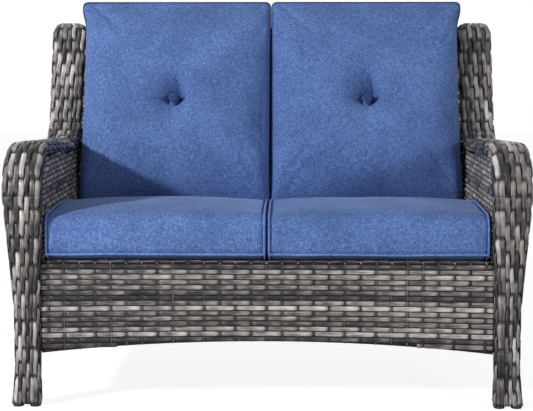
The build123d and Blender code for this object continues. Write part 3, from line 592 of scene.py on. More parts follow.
# %% [markdown]
# ## Weaving the flat panels
#
# The apron, the side panels, the deck and the back are one layer of plain weave, 77 mm bricks in
# rows 12.7 mm apart, with a stake every half brick. The apron's rows lie 13.4 mm apart, and the
# inner panels have shorter bricks. Each panel is a sheet of its own, and its rows start and end
# where the frame's bands and rails close it. Below, the apron's hem rises in a shallow arch.

# %% Panel sheets and the apron
def plane_sheet(origin, along, across):
    """Flat sheet: origin, plus the distances along two directions, plus the height square to both."""
    origin, along, across = [np.array(v, float) for v in (origin, along, across)]
    normal = np.cross(along, across)

    def sheet(a, b, h):
        return origin + a[..., None] * along + b[..., None] * across + h[..., None] * normal
    return sheet


apron_low, apron_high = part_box("front_apron_weave")
APRON_ROWS = 17
APRON_PITCH = 13.4 * MM
APRON_ARCH = 32 * MM
APRON_SAG = 9 * MM
APRON_LOW = apron_low.z - 3 * MM
apron_half = apron_high.x - 1 * MM
apron_face = plane_sheet((0, apron_low.y + 2 * MM, 0), (1, 0, 0), (0, 0, 1))


def apron_edge(x):
    """Height of the apron's lower edge: the hem's arch, a parabola close to its shallow arc."""
    return APRON_LOW + APRON_ARCH * (1 - (x / apron_half) ** 2)


def apron_sheet(a, b, h):
    """The apron's face. Rows near the hem follow a little of its arch."""
    depth = np.clip((apron_high.z - b) / (apron_high.z - apron_low.z), 0, 1)
    return apron_face(a, b + APRON_SAG * depth * (1 - (a / apron_half) ** 2), h)


def weave_apron():
    cloth = Cloth()
    places = apron_high.z - APRON_PITCH * (np.arange(APRON_ROWS) + 0.5)
    room = np.clip((places - APRON_PITCH * 0.55 - APRON_LOW) / (APRON_ARCH - APRON_SAG), 0, 1)
    cut = apron_half * np.sqrt(1 - room)
    whole = places[cut < 1 * MM]
    rows(cloth, apron_sheet, whole, np.full(len(whole), -apron_half), np.full(len(whole), apron_half),
         width=APRON_PITCH * 0.87, mottle=0.035, fade=lambda x: 0.06 * x / apron_half, batches=0.9)
    short = cut >= 1 * MM
    for place, edge, parity in zip(places[short], cut[short], range(len(whole), APRON_ROWS)):
        if apron_half - edge > 30 * MM:
            rows(cloth, apron_sheet, [place, place], [-apron_half, edge], [-edge, apron_half],
                 parity=parity, batch=parity, width=APRON_PITCH * 0.87, mottle=0.035, batches=0.9)
    at = stake_places(-apron_half, apron_half)
    sag = APRON_SAG * (1 - (at / apron_half) ** 2)
    stakes(cloth, apron_sheet, at, apron_edge(at) - sag + 3 * MM, np.full(len(at), apron_high.z),
           first_row=places[first_parity(at)], pitch=APRON_PITCH, width=2.2 * MM, tone=-0.02, shade=0.5)
    x = np.linspace(-apron_half, apron_half, 60)
    sag = APRON_SAG * (1 - (x / apron_half) ** 2)
    lining(cloth, apron_sheet, x, apron_edge(x) - sag + 4 * MM, np.full(60, apron_high.z), 8)
    dress(cloth, "front_apron_strands", "front_apron_weave")


weave_apron()

# %% [markdown]
# The side panels fill the opening between the front leg, the arm and the rear leg. Their rows run
# from front to back. Each row starts behind the front band and ends at the rear leg or, higher up,
# where the arm's underside closes the opening, so its two ends are read from those lines.

# %% Side panels
def opening_lines():
    """Front and rear edge of the side opening as (height, y) pairs, half a band off the lines."""
    band = side_line["points"] + HALF_BAND * side_line["ways"][:, ::-1] * (1, -1)
    top = int(np.argmax(np.where(side_line["reach"] < rise_start, band[:, 1], 0)))
    under = band[top:][(band[top:, 0] < rear_line["points"][-1, 0]) & (band[top:, 1] > ARM_FRONT / 2)]
    leg = rear_line["points"] - HALF_BAND * rear_line["ways"][:, ::-1] * (1, -1)
    leg = leg[leg[:, 1] < under[-1, 1]]
    return band[:top + 1], np.concatenate([leg, under[::-1]])


front_edge, rear_edge = opening_lines()


def weave_side_panel(name, node, origin, across, facing, pitch, brick, width, step, gap, thick,
                     swing, pale):
    """Panel of plain weave in a plane through origin, bricks on the side it faces (1 right, -1 left)."""
    flat = plane_sheet(origin, (0, 1, 0), across)

    def sheet(a, b, h):
        return flat(a, b, facing * h)

    rise = across[2]
    low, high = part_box(node)
    places = np.arange(low.z + pitch / 2, high.z + 4 * MM, pitch)
    starts = np.interp(places, front_edge[:, 1], front_edge[:, 0])
    ends = np.interp(places, rear_edge[:, 1], rear_edge[:, 0])
    cloth = Cloth()
    rows(cloth, sheet, places / rise, starts, ends, step=step, brick=brick, gap=gap, width=width * pitch,
         # The fade of pale lifts every row's tone, as painted light.
         thick=thick, swing=swing, mottle=0.10, batches=0.5, fade=lambda y: pale + 0 * y)
    at = stake_places(low.y, high.y, brick)
    tops = np.array([max([p for p, s, e in zip(places, starts, ends) if s < y < e], default=low.z)
                     for y in at])
    keep = tops > low.z + 20 * MM
    first = places[first_parity(at[keep], brick)]
    stakes(cloth, sheet, at[keep], np.full(keep.sum(), low.z / rise), tops[keep] / rise,
           first_row=first / rise, pitch=pitch / rise, step=pitch / 3, swing=swing, shade=0.5)
    y = np.linspace(low.y + 3 * MM, high.y - 3 * MM, 60)
    tops = np.array([max([p for p, s, e in zip(places, starts, ends) if s <= v <= e],
                         default=low.z + 1 * MM)
                     for v in y])
    lining(cloth, sheet, y, np.full(60, low.z / rise), tops / rise, 6)
    dress(cloth, name, node)


outer_low, outer_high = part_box("right_outer_panel_weave")
lean = (outer_high.x - outer_low.x - 4 * MM) / (outer_high.z - outer_low.z)
outer_foot = outer_low.x + 2 * MM - lean * outer_low.z
inner_middle = (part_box("right_inner_panel_weave")[0].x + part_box("right_inner_panel_weave")[1].x) / 2
for word, sign in (("left", -1), ("right", 1)):
    # The inner panels get a pale of 0.16, painted light that stands in for lamp light they barely catch;
    # the outer panels get none.
    weave_side_panel(f"{word}_inner_panel_strands", f"{word}_inner_panel_weave",
                     (sign * inner_middle, 0, 0), (0, 0, 1), -sign, pitch=13.1 * MM,
                     brick=60 * MM, width=0.68, step=3.2 * MM, gap=0.22, thick=4 * MM,
                     swing=2.6 * MM, pale=0.16)
    slope = np.array([sign * lean, 0, 1]) / np.hypot(lean, 1)
    weave_side_panel(f"{word}_outer_panel_strands", f"{word}_outer_panel_weave",
                     (sign * outer_foot, 0, 0), slope, sign, pitch=ROW_PITCH, brick=BRICK, width=0.87,
                     step=5.6 * MM, gap=0.075, thick=ROW_THICK, swing=SWING, pale=0.0)

# %% [markdown]
# The back is woven over its frame as a bag: up the front, over the rounded top rail and down the
# rear. One sheet follows that way round, and it is worked as two pieces. The deck and the rear
# apron are plain flat panels.

# %% Back, deck and rear apron
BACK_FOOT = (207.34 * MM, 366 * MM)
BACK_RISE = 589.8 * MM
BACK_HALF = (550.5 * MM, 548.5 * MM, 538 * MM)
BACK_SUNK = 1.6 * MM
ROLL = np.pi * HALF_BAND


def back_sheet(a, b, h):
    """Sheet round the leaned back: b from -rise at the front foot to 0, a half turn, and down again."""
    turn = np.clip(b / HALF_BAND, 0, np.pi)
    down = np.clip(-b, 0, None) + np.clip(b - ROLL, 0, None)
    up = BACK_RISE - HALF_BAND - down
    half = np.interp(up, (0, 0.42 * BACK_RISE, BACK_RISE), BACK_HALF) / BACK_HALF[0]
    radius = HALF_BAND - BACK_SUNK + h
    out, rise = -radius * np.cos(turn), up + radius * np.sin(turn)
    lean_y, lean_z = np.sin(RECLINE), np.cos(RECLINE)
    return np.stack([a * half, BACK_FOOT[0] + rise * lean_y + out * lean_z,
                     BACK_FOOT[1] + rise * lean_z - out * lean_y], axis=-1)


def weave_rows(cloth, sheet, low, high, half, step=6 * MM, batch=0):
    """Plain weave with rows along the sheet between two places across it, from -half to half."""
    count = int((high - low) / ROW_PITCH)
    places = low + (high - low) * (np.arange(count) + 0.5) / count
    rows(cloth, sheet, places, np.full(count, -half), np.full(count, half), step=step, batch=batch)
    at = stake_places(-half, half)
    stakes(cloth, sheet, at, np.full(len(at), low), np.full(len(at), high), step=6 * MM,
           first_row=places[first_parity(at)], pitch=(high - low) / count)
    x = np.linspace(-half, half, 30)
    lining(cloth, sheet, x, np.full(30, low + 1 * MM), np.full(30, high - 1 * MM), 24)


back_face = BACK_RISE - HALF_BAND
cloth = Cloth()
weave_rows(cloth, back_sheet, 0.0, ROLL + back_face, BACK_HALF[0], step=7 * MM)
dress(cloth, "back_rear_strands", "back_weave")
cloth = Cloth()
weave_rows(cloth, back_sheet, -back_face, 0.0, BACK_HALF[0], step=9 * MM, batch=3)
made = cloth.piece("back_front_strands", [STRAND, SHADE_LINER])
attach(made, "root")

low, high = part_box("seat_deck_weave")
cloth = Cloth()
weave_rows(cloth, plane_sheet((0, 0, (low.z + high.z) / 2), (1, 0, 0), (0, 1, 0)), low.y, high.y,
           high.x - 1 * MM, step=8 * MM)
dress(cloth, "seat_deck_strands", "seat_deck_weave")
low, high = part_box("rear_apron_weave")
cloth = Cloth()
weave_rows(cloth, plane_sheet((0, (low.y + high.y) / 2, 0), (-1, 0, 0), (0, 0, 1)), low.z, high.z,
           high.x - 1 * MM)
dress(cloth, "rear_apron_strands", "rear_apron_weave")

# %% [markdown]
# ## The cushion cloth
#
# The covers are sewn from a heathered polyester canvas, dyed mid blue. Two shades of yarn are spun
# together, so the cloth looks flecked, more so up and down, where the thicker yarn runs. Threads
# 0.8 mm apart would vanish at this distance, so the flecks are drawn at 3 mm and the bump of the
# weave at 1.6 mm. A sheen gives the cloth its pale rim. The piping is the same canvas cut on the
# bias: the seat's is painted paler, as painted light, and the back's piping and the buttons are
# painted navy, as painted shade.

# %% Canvas material
FLECK = 2.8 * MM
THREAD = 1.6 * MM


def heathered_canvas(name, deep, mid, pale):
    """Woven polyester: flecked colour, woven bump, rough surface with a little sheen."""
    material, tree, shader = new_material(name)
    at = add(tree, "ShaderNodeTexCoord").outputs["Object"]
    upright = add(tree, "ShaderNodeMapping",
                  {"Vector": at, "Scale": (1 / FLECK, 0.35 / FLECK, 0.35 / FLECK)})
    level = add(tree, "ShaderNodeMapping", {"Vector": at, "Scale": (0.3 / FLECK, 1 / FLECK, 1 / FLECK)})
    warp = add(tree, "ShaderNodeTexNoise", {"Vector": upright.outputs[0], "Scale": 1.0, "Detail": 2.0,
                                            "Roughness": 0.7}).outputs["Fac"]
    weft = add(tree, "ShaderNodeTexNoise", {"Vector": level.outputs[0], "Scale": 1.0, "Detail": 2.0,
                                            "Roughness": 0.7}).outputs["Fac"]
    cloudy = add(tree, "ShaderNodeTexNoise", {"Vector": at, "Scale": 9.0, "Detail": 2.0}).outputs["Fac"]
    yarns = add(tree, "ShaderNodeMath", {0: warp, 1: weft}, operation="ADD").outputs[0]
    flecks = add(tree, "ShaderNodeMath", {0: yarns, 1: 0.42, 2: 0.0}, operation="MULTIPLY_ADD").outputs[0]
    both = add(tree, "ShaderNodeMath", {0: cloudy, 1: 0.16, 2: flecks}, operation="MULTIPLY_ADD").outputs[0]
    tree.links.new(ramp(tree, both, [(0.38, deep), (0.50, mid), (0.62, pale)]), shader.inputs["Base Color"])
    threads = add(tree, "ShaderNodeMapping",
                  {"Vector": at, "Scale": (1 / THREAD, 1 / THREAD, 1 / THREAD)})
    cells = add(tree, "ShaderNodeTexVoronoi",
                {"Vector": threads.outputs[0], "Scale": 1.0}).outputs["Distance"]
    heights = add(tree, "ShaderNodeMath", {0: cells, 1: yarns}, operation="ADD").outputs[0]
    bump = add(tree, "ShaderNodeBump", {"Height": heights, "Strength": 0.35, "Distance": 0.6 * MM})
    tree.links.new(bump.outputs["Normal"], shader.inputs["Normal"])
    shader.inputs["Roughness"].default_value = 0.88
    shader.inputs["IOR"].default_value = 1.46
    shader.inputs["Sheen Weight"].default_value = 0.22
    shader.inputs["Sheen Roughness"].default_value = 0.45
    shader.inputs["Sheen Tint"].default_value = linear("#b9cdf5")
    return material


CANVAS = heathered_canvas("heathered blue polyester canvas", "#38507f", "#526fab", "#708fcc")
# The piping is painted light and shade on the same canvas: the seat's paler as if lit, the back's piping
# and the buttons navy as painted shade.
LIT_PIPING_CLOTH = heathered_canvas("blue bias canvas painted paler as lit", "#42609c", "#5f80c0", "#82a2dc")
SHADED_NAVY_CLOTH = heathered_canvas("blue bias canvas painted navy as shade", "#1f2c52", "#2c3e70", "#3c538c")

# %% [markdown]
# ## Filling a cover
#
# A sewn cover is a closed bag, a little smaller than its filling, that swells between its
# seams. So each cushion starts as a slightly small form, worked out as a surface of two parameters.
# A voxel remesh gives it even squares, the cloth simulation blows it up with the seams held
# still, and a limit keeps every point near its start. Cloth that rests on something is held
# back, so that it stays flat there.

# %% Closed forms and the cloth simulation
VOXEL = 7.0 * MM
PRESSURE = 4.0
FRAMES = 20


def read_points(mesh):
    points = np.empty(3 * len(mesh.vertices), np.float32)
    mesh.vertices.foreach_get("co", points)
    return points.reshape(-1, 3).astype(float)


def bake(thing):
    """Replaces an object's mesh by what its modifiers make of it."""
    made = bpy.data.meshes.new_from_object(thing.evaluated_get(bpy.context.evaluated_depsgraph_get()))
    thing.modifiers.clear()
    thing.data = made
    return read_points(made)


def closed_form(name, near, far):
    """Object from two grids (rows, columns, 3) that share their rim, remeshed to even squares."""
    high, wide = near.shape[:2]
    index = np.arange(high * wide).reshape(high, wide)
    faces = [np.stack([g[:-1, :-1], g[:-1, 1:], g[1:, 1:], g[1:, :-1]], axis=-1).reshape(-1, 4)
             for g in (index, (index + high * wide)[:, ::-1])]
    mesh = bpy.data.meshes.new(name)
    mesh.from_pydata(np.concatenate([near.reshape(-1, 3), far.reshape(-1, 3)]), [],
                     np.concatenate(faces).tolist())
    thing = bpy.data.objects.new(name, mesh)
    scene.collection.objects.link(thing)
    weld = thing.modifiers.new("weld", "WELD")
    weld.merge_threshold = 0.3 * MM
    remesh = thing.modifiers.new("even squares", "REMESH")
    remesh.mode, remesh.voxel_size = "VOXEL", VOXEL
    bake(thing)
    return thing


def swell(thing, held, cap, free):
    """Blows the cover up with the held points still; free (0 to 1) times cap limits each point."""
    start = read_points(thing.data)
    seam = thing.vertex_groups.new(name="seam")
    seam.add(np.flatnonzero(held > 0.5).tolist(), 1.0, "REPLACE")
    cloth = thing.modifiers.new("filling", "CLOTH")
    cloth.settings.use_pressure = True
    cloth.settings.uniform_pressure_force = PRESSURE
    cloth.settings.effector_weights.gravity = 0.0
    cloth.settings.vertex_group_mass = "seam"
    for frame_number in range(1, FRAMES + 1):
        scene.frame_set(frame_number)
    moved = read_points(thing.evaluated_get(bpy.context.evaluated_depsgraph_get()).data) - start
    thing.modifiers.clear()
    thing.vertex_groups.clear()
    size = np.linalg.norm(moved, axis=1) + 1e-9
    limited = cap * np.tanh(size / cap)
    points = start + moved * (limited / size * free)[:, None]
    thing.data.vertices.foreach_set("co", points.astype(np.float32).ravel())
    thing.data.update()
    finer = thing.modifiers.new("finer", "SUBSURF")
    finer.levels = finer.render_levels = 1
    print(f"{thing.name}: moved {limited.mean() / MM:.1f} mm on average, "
          f"{limited.max() / MM:.1f} mm at most")
    return bake(thing)


def finish_cover(thing, points, body, node):
    thing.data.vertices.foreach_set("co", points.astype(np.float32).ravel())
    thing.data.update()
    thing.data.shade_smooth()
    thing.data.materials.clear()
    thing.data.materials.append(CANVAS)
    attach(thing, body)
    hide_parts(node)
    print(f"{thing.name}: {2 * len(thing.data.polygons)} triangles")


def bell(distance, width):
    """Bell curve: 1 at no distance, falling off over the width."""
    return np.exp(-(distance / width) ** 2)


def rounding(distance, radius):
    """How far a surface falls back at a distance from an end that is rounded to a radius."""
    left = np.clip(radius - distance, 0, radius)
    return radius - np.sqrt(radius ** 2 - left ** 2)


def blended(place, places, values, spread=0.03):
    """Straight interpolation averaged over a short spread, which rounds its corners."""
    return sum(np.interp(place + spread * k, places, values) for k in (-1, -0.5, 0, 0.5, 1)) / 5


def gathered(low_count, high_count):
    """Shares from 0 to 1 that gather towards both ends, by squares."""
    return np.unique(np.concatenate([np.linspace(0, 1, low_count) ** 2 / 2,
                                     1 - np.linspace(0, 1, high_count) ** 2 / 2]))


def evened(path, count):
    """The same path with its points an equal distance apart."""
    along = np.concatenate([[0], np.cumsum(np.linalg.norm(np.diff(path, axis=0), axis=1))])
    even = np.linspace(0, along[-1], count)
    return np.stack([np.interp(even, along, column) for column in path.T], 1)


def sew_on(cloth, name, material, body, node):
    """Makes a sewn piece, which rides on its cushion in place of its plain node."""
    made = cloth.piece(name, [material])
    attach(made, body)
    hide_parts(node)


def welt(name, paths, body, node, material):
    """Piping: a cord of 5.5 mm in its sleeve, carried along each (points, square direction) path."""
    cloth = Cloth()
    turns = np.linspace(0, 2 * np.pi, 10, endpoint=False)[:, None]
    for path, square in paths:
        step = np.gradient(path, axis=0)
        side = np.cross(step, square)
        side /= np.linalg.norm(side, axis=1)[:, None]
        up = np.cross(side, step)
        up /= np.linalg.norm(up, axis=1)[:, None]
        ring = WELT / 2 * (side[:, None] * np.cos(turns) + up[:, None] * np.sin(turns))
        cloth.grid((path[:, None] + ring)[None], np.zeros(2), 0.0, 1.0, 0)
    sew_on(cloth, name, material, body, node)


# %% [markdown]
# ## Seat cushions
#
# A seat cushion is boxed: one long panel wraps the front, the top and the underside, and a flat
# panel closes each end. Piping runs round both ends and along the foot of the front. The end panels
# swell out between their seams. Under the back cushion the seat is pressed down.

# %% Seat cushion form
WELT = 5.5 * MM
SEAM_IN = 2.5 * MM
SEAT_EDGE = 6 * MM
SEAT_HIGH = 123 * MM
SEAT_CROWN = 8 * MM
SEAT_REAR = 16 * MM
SEAT_NOSE = 30 * MM
SEAT_HEM = 20 * MM
SEAT_SLACK = 5 * MM
END_BULGE = 4.5 * MM
SEAM_DRAW = 2.4 * MM
PUCKER_DEEP, PUCKER_LONG = 1.0 * MM, 47 * MM
RIPPLE_LENGTHS = (90, 120, 150, 200, 260)
PRESSED_SHARES = (0, 0.12, 0.31, 0.43, 0.55, 0.67, 0.79, 0.89, 1)
PRESSED_HIGH_SHARES = (1, 1.01, 1.04, 1.045, 1.03, 0.985, 0.915, 0.81, 0.69)


def seat_profile(place, box):
    """Underside and top of the seat cushion at a share of its depth, rounded at front and rear."""
    depth = box["rear"] - box["front"]
    ahead, behind = depth * place, depth * (1 - place)
    top = box["low"] + SEAT_HIGH * blended(place, PRESSED_SHARES, PRESSED_HIGH_SHARES) - SEAT_SLACK
    top = top - rounding(ahead, SEAT_NOSE) - rounding(behind, SEAT_REAR)
    hem = SEAT_HEM * np.clip(1 - ahead / (2.2 * SEAT_HEM), 0, 1) ** 1.1
    low = box["low"] + hem + rounding(behind, SEAT_REAR)
    return low, top


def rimmed(near, far):
    """Gives two grids a shared rim half way between their edges, which closes the walls."""
    near, far = [np.pad(g, ((1, 1), (1, 1), (0, 0)), mode="edge") for g in (near, far)]
    middle = (near + far) / 2
    for grid in (near, far):
        for side in (np.s_[0], np.s_[-1], np.s_[:, 0], np.s_[:, -1]):
            grid[side] = middle[side]
    return near, far


def ripples(points, seed, size):
    """Slow unevenness of a filled cover: five sine waves 90 to 260 mm long, in chosen directions."""
    luck = np.random.default_rng(seed)
    total = np.zeros(len(points))
    for length in RIPPLE_LENGTHS:
        way = luck.normal(size=3)
        way /= np.linalg.norm(way)
        total += np.sin(2 * np.pi * (points @ way) / (length * MM) + luck.uniform(0, 2 * np.pi)) * length
    return size * total / sum(RIPPLE_LENGTHS)


def seat_form(box):
    """Top and underside grids; x runs as a sine so that the points gather at the ends."""
    place = gathered(80, 60)[:, None]
    across = np.sin(np.linspace(-np.pi / 2, np.pi / 2, 60))[None]
    under, top = seat_profile(place, box)
    edge = rounding(box["half"] * (1 - np.abs(across)), SEAT_EDGE)
    x = box["middle"] + box["half"] * across * np.ones_like(place)
    y = box["front"] + (box["rear"] - box["front"]) * place * np.ones_like(across)
    crown = SEAT_CROWN * np.sin(np.pi * place) ** 0.5 * (1 - np.abs(across) ** 2.5)
    return rimmed(np.stack([x, y, top + crown - edge], axis=-1), np.stack([x, y, under + edge], axis=-1))


def seat_seams(box):
    """Paths of the piping: a loop round each end, and a line along the foot of the front."""
    place = gathered(90, 60)
    under, top = seat_profile(place, box)
    y = box["front"] + (box["rear"] - box["front"]) * place
    loop = np.concatenate([np.stack([y, top], 1), np.stack([y, under], 1)[::-1]])
    loop = evened(loop, 260)
    loop = np.concatenate([loop, loop[:1], loop[1:2]])
    paths = []
    for end in (-1, 1):
        x = np.full(len(loop), box["middle"] + end * (box["half"] - SEAT_EDGE / 4))
        paths.append((np.column_stack([x, loop]), np.array([1.0, 0, 0])))
    x = np.linspace(-1, 1, 120) * (box["half"] - SEAT_EDGE / 4)
    foot = np.column_stack([box["middle"] + x, np.full(120, box["front"] - 0.5 * MM),
                            np.full(120, box["low"] + SEAT_HEM)])
    paths.append((foot, np.array([0, 0, 1.0])))
    return paths


def make_seat_cushion(word, seed):
    low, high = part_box(f"{word}_seat_cushion")
    box = {"front": low.y - 2 * MM, "rear": high.y - 1 * MM, "low": low.z,
           "middle": (low.x + high.x) / 2, "half": (high.x - low.x) / 2 - SEAM_IN}
    cover = closed_form(f"{word}_seat_cover", *seat_form(box))

    def measures(points):
        """Distance from the ends, share of the depth, and distance from the wrapped panel."""
        end = box["half"] - np.abs(points[:, 0] - box["middle"])
        place = np.clip((points[:, 1] - box["front"]) / (box["rear"] - box["front"]), 0, 1)
        under, top = seat_profile(place, box)
        rim = np.minimum.reduce([np.abs(points[:, 2] - top), np.abs(points[:, 2] - under),
                                 np.abs(points[:, 1] - box["front"]), np.abs(points[:, 1] - box["rear"])])
        return end, place, rim

    points = read_points(cover.data)
    end, place, rim = measures(points)
    foot = (points[:, 1] < box["front"] + 3 * MM) & (np.abs(points[:, 2] - box["low"] - SEAT_HEM) < 5 * MM)
    held = ((end < 5 * MM) & (rim < 6 * MM)) | foot
    free = np.where(end < 4 * MM, 0.75, 1.0)
    free *= np.clip((points[:, 2] - box["low"]) / (12 * MM), 0, 1)
    free *= np.clip((box["rear"] - points[:, 1]) / (30 * MM), 0, 1)
    free *= 1 - 0.85 * np.clip((place - 0.55) / 0.12, 0, 1)
    points = swell(cover, held.astype(float), 9 * MM, free)

    def settle(points):
        """Ripples that fade where the cushion rests, so that cover and piping move together."""
        loose = np.clip((points[:, 2] - box["low"]) / (25 * MM), 0, 1)
        loose = loose * np.clip((box["rear"] - points[:, 1]) / (200 * MM), 0, 1)
        return points + np.column_stack([np.zeros(len(points)), loose * ripples(points, seed, 1.6 * MM),
                                         loose * ripples(points, seed + 1, 1.8 * MM)])

    end, place, rim = measures(points)
    normals = np.empty(3 * len(points), np.float32)
    cover.data.vertices.foreach_get("normal", normals)
    sideways = np.clip((np.abs(normals[::3]) - 0.5) / 0.3, 0, 1)
    full = (box["half"] + END_BULGE * (1 - bell(rim, 13 * MM))) * np.sign(points[:, 0] - box["middle"])
    points[:, 0] += sideways * (box["middle"] + full - points[:, 0])
    end = box["half"] - np.abs(points[:, 0] - box["middle"])
    front = np.abs(points[:, 1] - box["front"]) < 14 * MM
    foot_gap = np.where(front, np.abs(points[:, 2] - box["low"] - SEAT_HEM), 1.0)
    centre = np.array([box["middle"], (box["front"] + box["rear"]) / 2, box["low"] + 60 * MM])
    inward = (centre - points) / np.array([box["half"], 270 * MM, 60 * MM]) ** 2
    inward /= np.linalg.norm(inward, axis=1)[:, None]
    drawn = SEAM_DRAW * (bell(np.abs(end) - 5 * MM, 3.5 * MM) * (rim < 12 * MM)
                        + bell(foot_gap - 5 * MM, 3.5 * MM))
    pucker = PUCKER_DEEP * bell(foot_gap, 22 * MM)
    pucker = pucker * np.sin(2 * np.pi * points[:, 0] / PUCKER_LONG + seed)
    loose = np.clip((points[:, 2] - box["low"]) / (8 * MM), 0, 1)
    points = points + inward * (drawn + pucker)[:, None] * loose[:, None]
    finish_cover(cover, settle(points), f"{word}_seat_cushion", f"{word}_seat_cushion")
    welt(f"{word}_seat_welt", [(settle(path), square) for path, square in seat_seams(box)],
         f"{word}_seat_cushion", f"{word}_seat_piping", LIT_PIPING_CLOTH)


make_seat_cushion("left", 11)
make_seat_cushion("right", 23)

# %% [markdown]
# ## Back cushions
#
# A back cushion is filled with loose fibre, so it is thick below and thin above, and its front
# panel rolls over every edge to a seam at the rear. A button is pulled through it with twine. It
# draws a funnel into the cloth. Above it the slack cloth makes a pocket with one steep wall, which
# narrows to a point, and from the button run a soft valley down and a faint crease to each side.
# They fall off as exponentials and are added after the simulation, because a fold is finer than a
# voxel.

# %% Back cushion form
BACK_HIGH = 588 * MM
BACK_DEEP = 131 * MM
BACK_WIDE = 545.7 * MM
CUSHION_FOOT = np.array([0, 211.1 * MM, 441 * MM])
UP = np.array([0, np.sin(RECLINE), np.cos(RECLINE)])
OUT = np.array([0, -np.cos(RECLINE), np.sin(RECLINE)])
PLACE_SHARES = (0, 0.03, 0.1, 0.17, 0.3, 0.55, 0.8, 0.9, 0.95, 0.985, 1)
WIDTH_SHARES = (0.994, 1, 1, 0.995, 0.975, 0.966, 0.956, 0.962, 1, 1.004, 1)
REAR_SHARES = (0.12, 0.03, 0, 0, 0, 0, 0.01, 0.035, 0.06, 0.1, 0.13)
FRONT_SHARES = (0.36, 0.50, 0.74, 0.89, 1.01, 0.96, 0.77, 0.63, 0.54, 0.46, 0.40)
PILLOW_SHARE = 0.24
TUFT_HEIGHT = 292.9 * MM
TUFT_SEAT = 92 * MM
REAR_TUFT_SEAT = 12.5 * MM
BUTTON = 27 * MM
BANDS = 48
MIDDLES = (np.arange(BANDS) + 0.5) / BANDS
POCKET_HIGH = 92 * MM
POCKET_WIDE = 26 * MM
POCKET_DEEP = 54 * MM
POCKET_WALLS = (50 * MM, 6 * MM)
VALLEY_DEEP, VALLEY_LONG = 19 * MM, 48 * MM
VALLEY_WALLS = (34 * MM, 18 * MM)
CREASE_DEEP, CREASE_LONG, CREASE_WIDE = 5 * MM, 60 * MM, 9 * MM
FUNNEL_NEAR, FUNNEL_FAR = 24 * MM, 75 * MM
TRENCH_DEEP = 4 * MM


def back_half(place):
    """Half width of the back cushion, rounded off towards its top and bottom corners."""
    near_end = BACK_HIGH * np.minimum(place, 1 - place)
    return BACK_WIDE / 2 * blended(place, PLACE_SHARES, WIDTH_SHARES) - 3 * MM - rounding(near_end, 13 * MM)


def side_reach(place, x, outer):
    """How far the cover reaches to a side: shaped outside, straight against the other cushion."""
    near_end = BACK_HIGH * np.minimum(place, 1 - place)
    straight = BACK_WIDE / 2 - 0.5 * MM - rounding(near_end, 13 * MM)
    return np.where(x * outer > 0, back_half(place), straight)


def reach_by_height(local, side):
    """Farthest that points reach to a side, in each of the bands up the cushion."""
    slot = np.clip((local[:, 1] / BACK_HIGH * BANDS).astype(int), 0, BANDS - 1)
    reach = np.full(BANDS, 1 * MM)
    np.maximum.at(reach, slot, side * local[:, 0])
    return reach


def fitted(local, outer):
    """Stretches the filled cover sideways, height by height, until it reaches its line on both sides."""
    local = local * (1, (BACK_HIGH - 2 * MM) / local[:, 1].max(), 1)
    for side in (-1, 1):
        scale = side_reach(MIDDLES, side * np.ones(BANDS), outer) / reach_by_height(local, side)
        mine = side * local[:, 0] > 0
        local[mine, 0] *= np.interp(local[mine, 1] / BACK_HIGH, MIDDLES, scale)
    return local


def back_rim(place):
    """Depth of the seam: at the rear below, and half way through the thin upper part."""
    rear = BACK_DEEP * blended(place, PLACE_SHARES, REAR_SHARES) + 1 * MM
    thick = BACK_DEEP * blended(place, PLACE_SHARES, FRONT_SHARES) - 5 * MM - rear
    share = np.clip((place - 0.45) / 0.5, 0, 1)
    return rear, thick, 2 * MM + 0.42 * thick * share ** 2 * (3 - 2 * share)


def back_form():
    """Front and rear grids in the cushion's own frame: across, up the lean, out of the lean."""
    place = gathered(90, 90)[:, None]
    across = np.sin(np.linspace(-np.pi / 2, np.pi / 2, 90))[None]
    rear, thick, rim = back_rim(place)
    sharp = np.where(place > 0.5, 28, 14)
    dome = (1 - np.abs(across) ** 26) ** 0.42 * (1 - np.abs(2 * place - 1) ** sharp) ** 0.42
    dome = dome * (1 - PILLOW_SHARE * across ** 2 * bell(place - 0.5, 0.5))
    x = back_half(place) * across
    h = BACK_HIGH * place * np.ones_like(across)
    return (np.stack([x, h, rear + rim + (thick - rim) * dome], axis=-1),
            np.stack([x, h, rear + rim - rim * dome], axis=-1))


def back_seam(local, outer):
    """The seam round the filled cover, read from its points, as a closed path in its own frame."""
    rear, _, rim = back_rim(np.clip(local[:, 1] / BACK_HIGH, 0, 1))
    sewn = local[np.abs(local[:, 2] - rear - rim) < 6 * MM]
    place = gathered(160, 160)
    rear, _, rim = back_rim(place)
    depth = rear + rim
    halves = []
    for side in (1, -1):
        sewn_at = np.interp(place, MIDDLES, reach_by_height(sewn, side)) + 0.5 * MM
        half = np.minimum(side_reach(place, side, outer) + side * outer * MM, sewn_at)
        halves.append(np.stack([side * half, BACK_HIGH * place, depth], 1))
    right, left = halves
    loop = np.concatenate([right, left[::-1], right[:1]])
    loop = evened(loop, 420)
    return np.concatenate([loop, loop[1:2]])


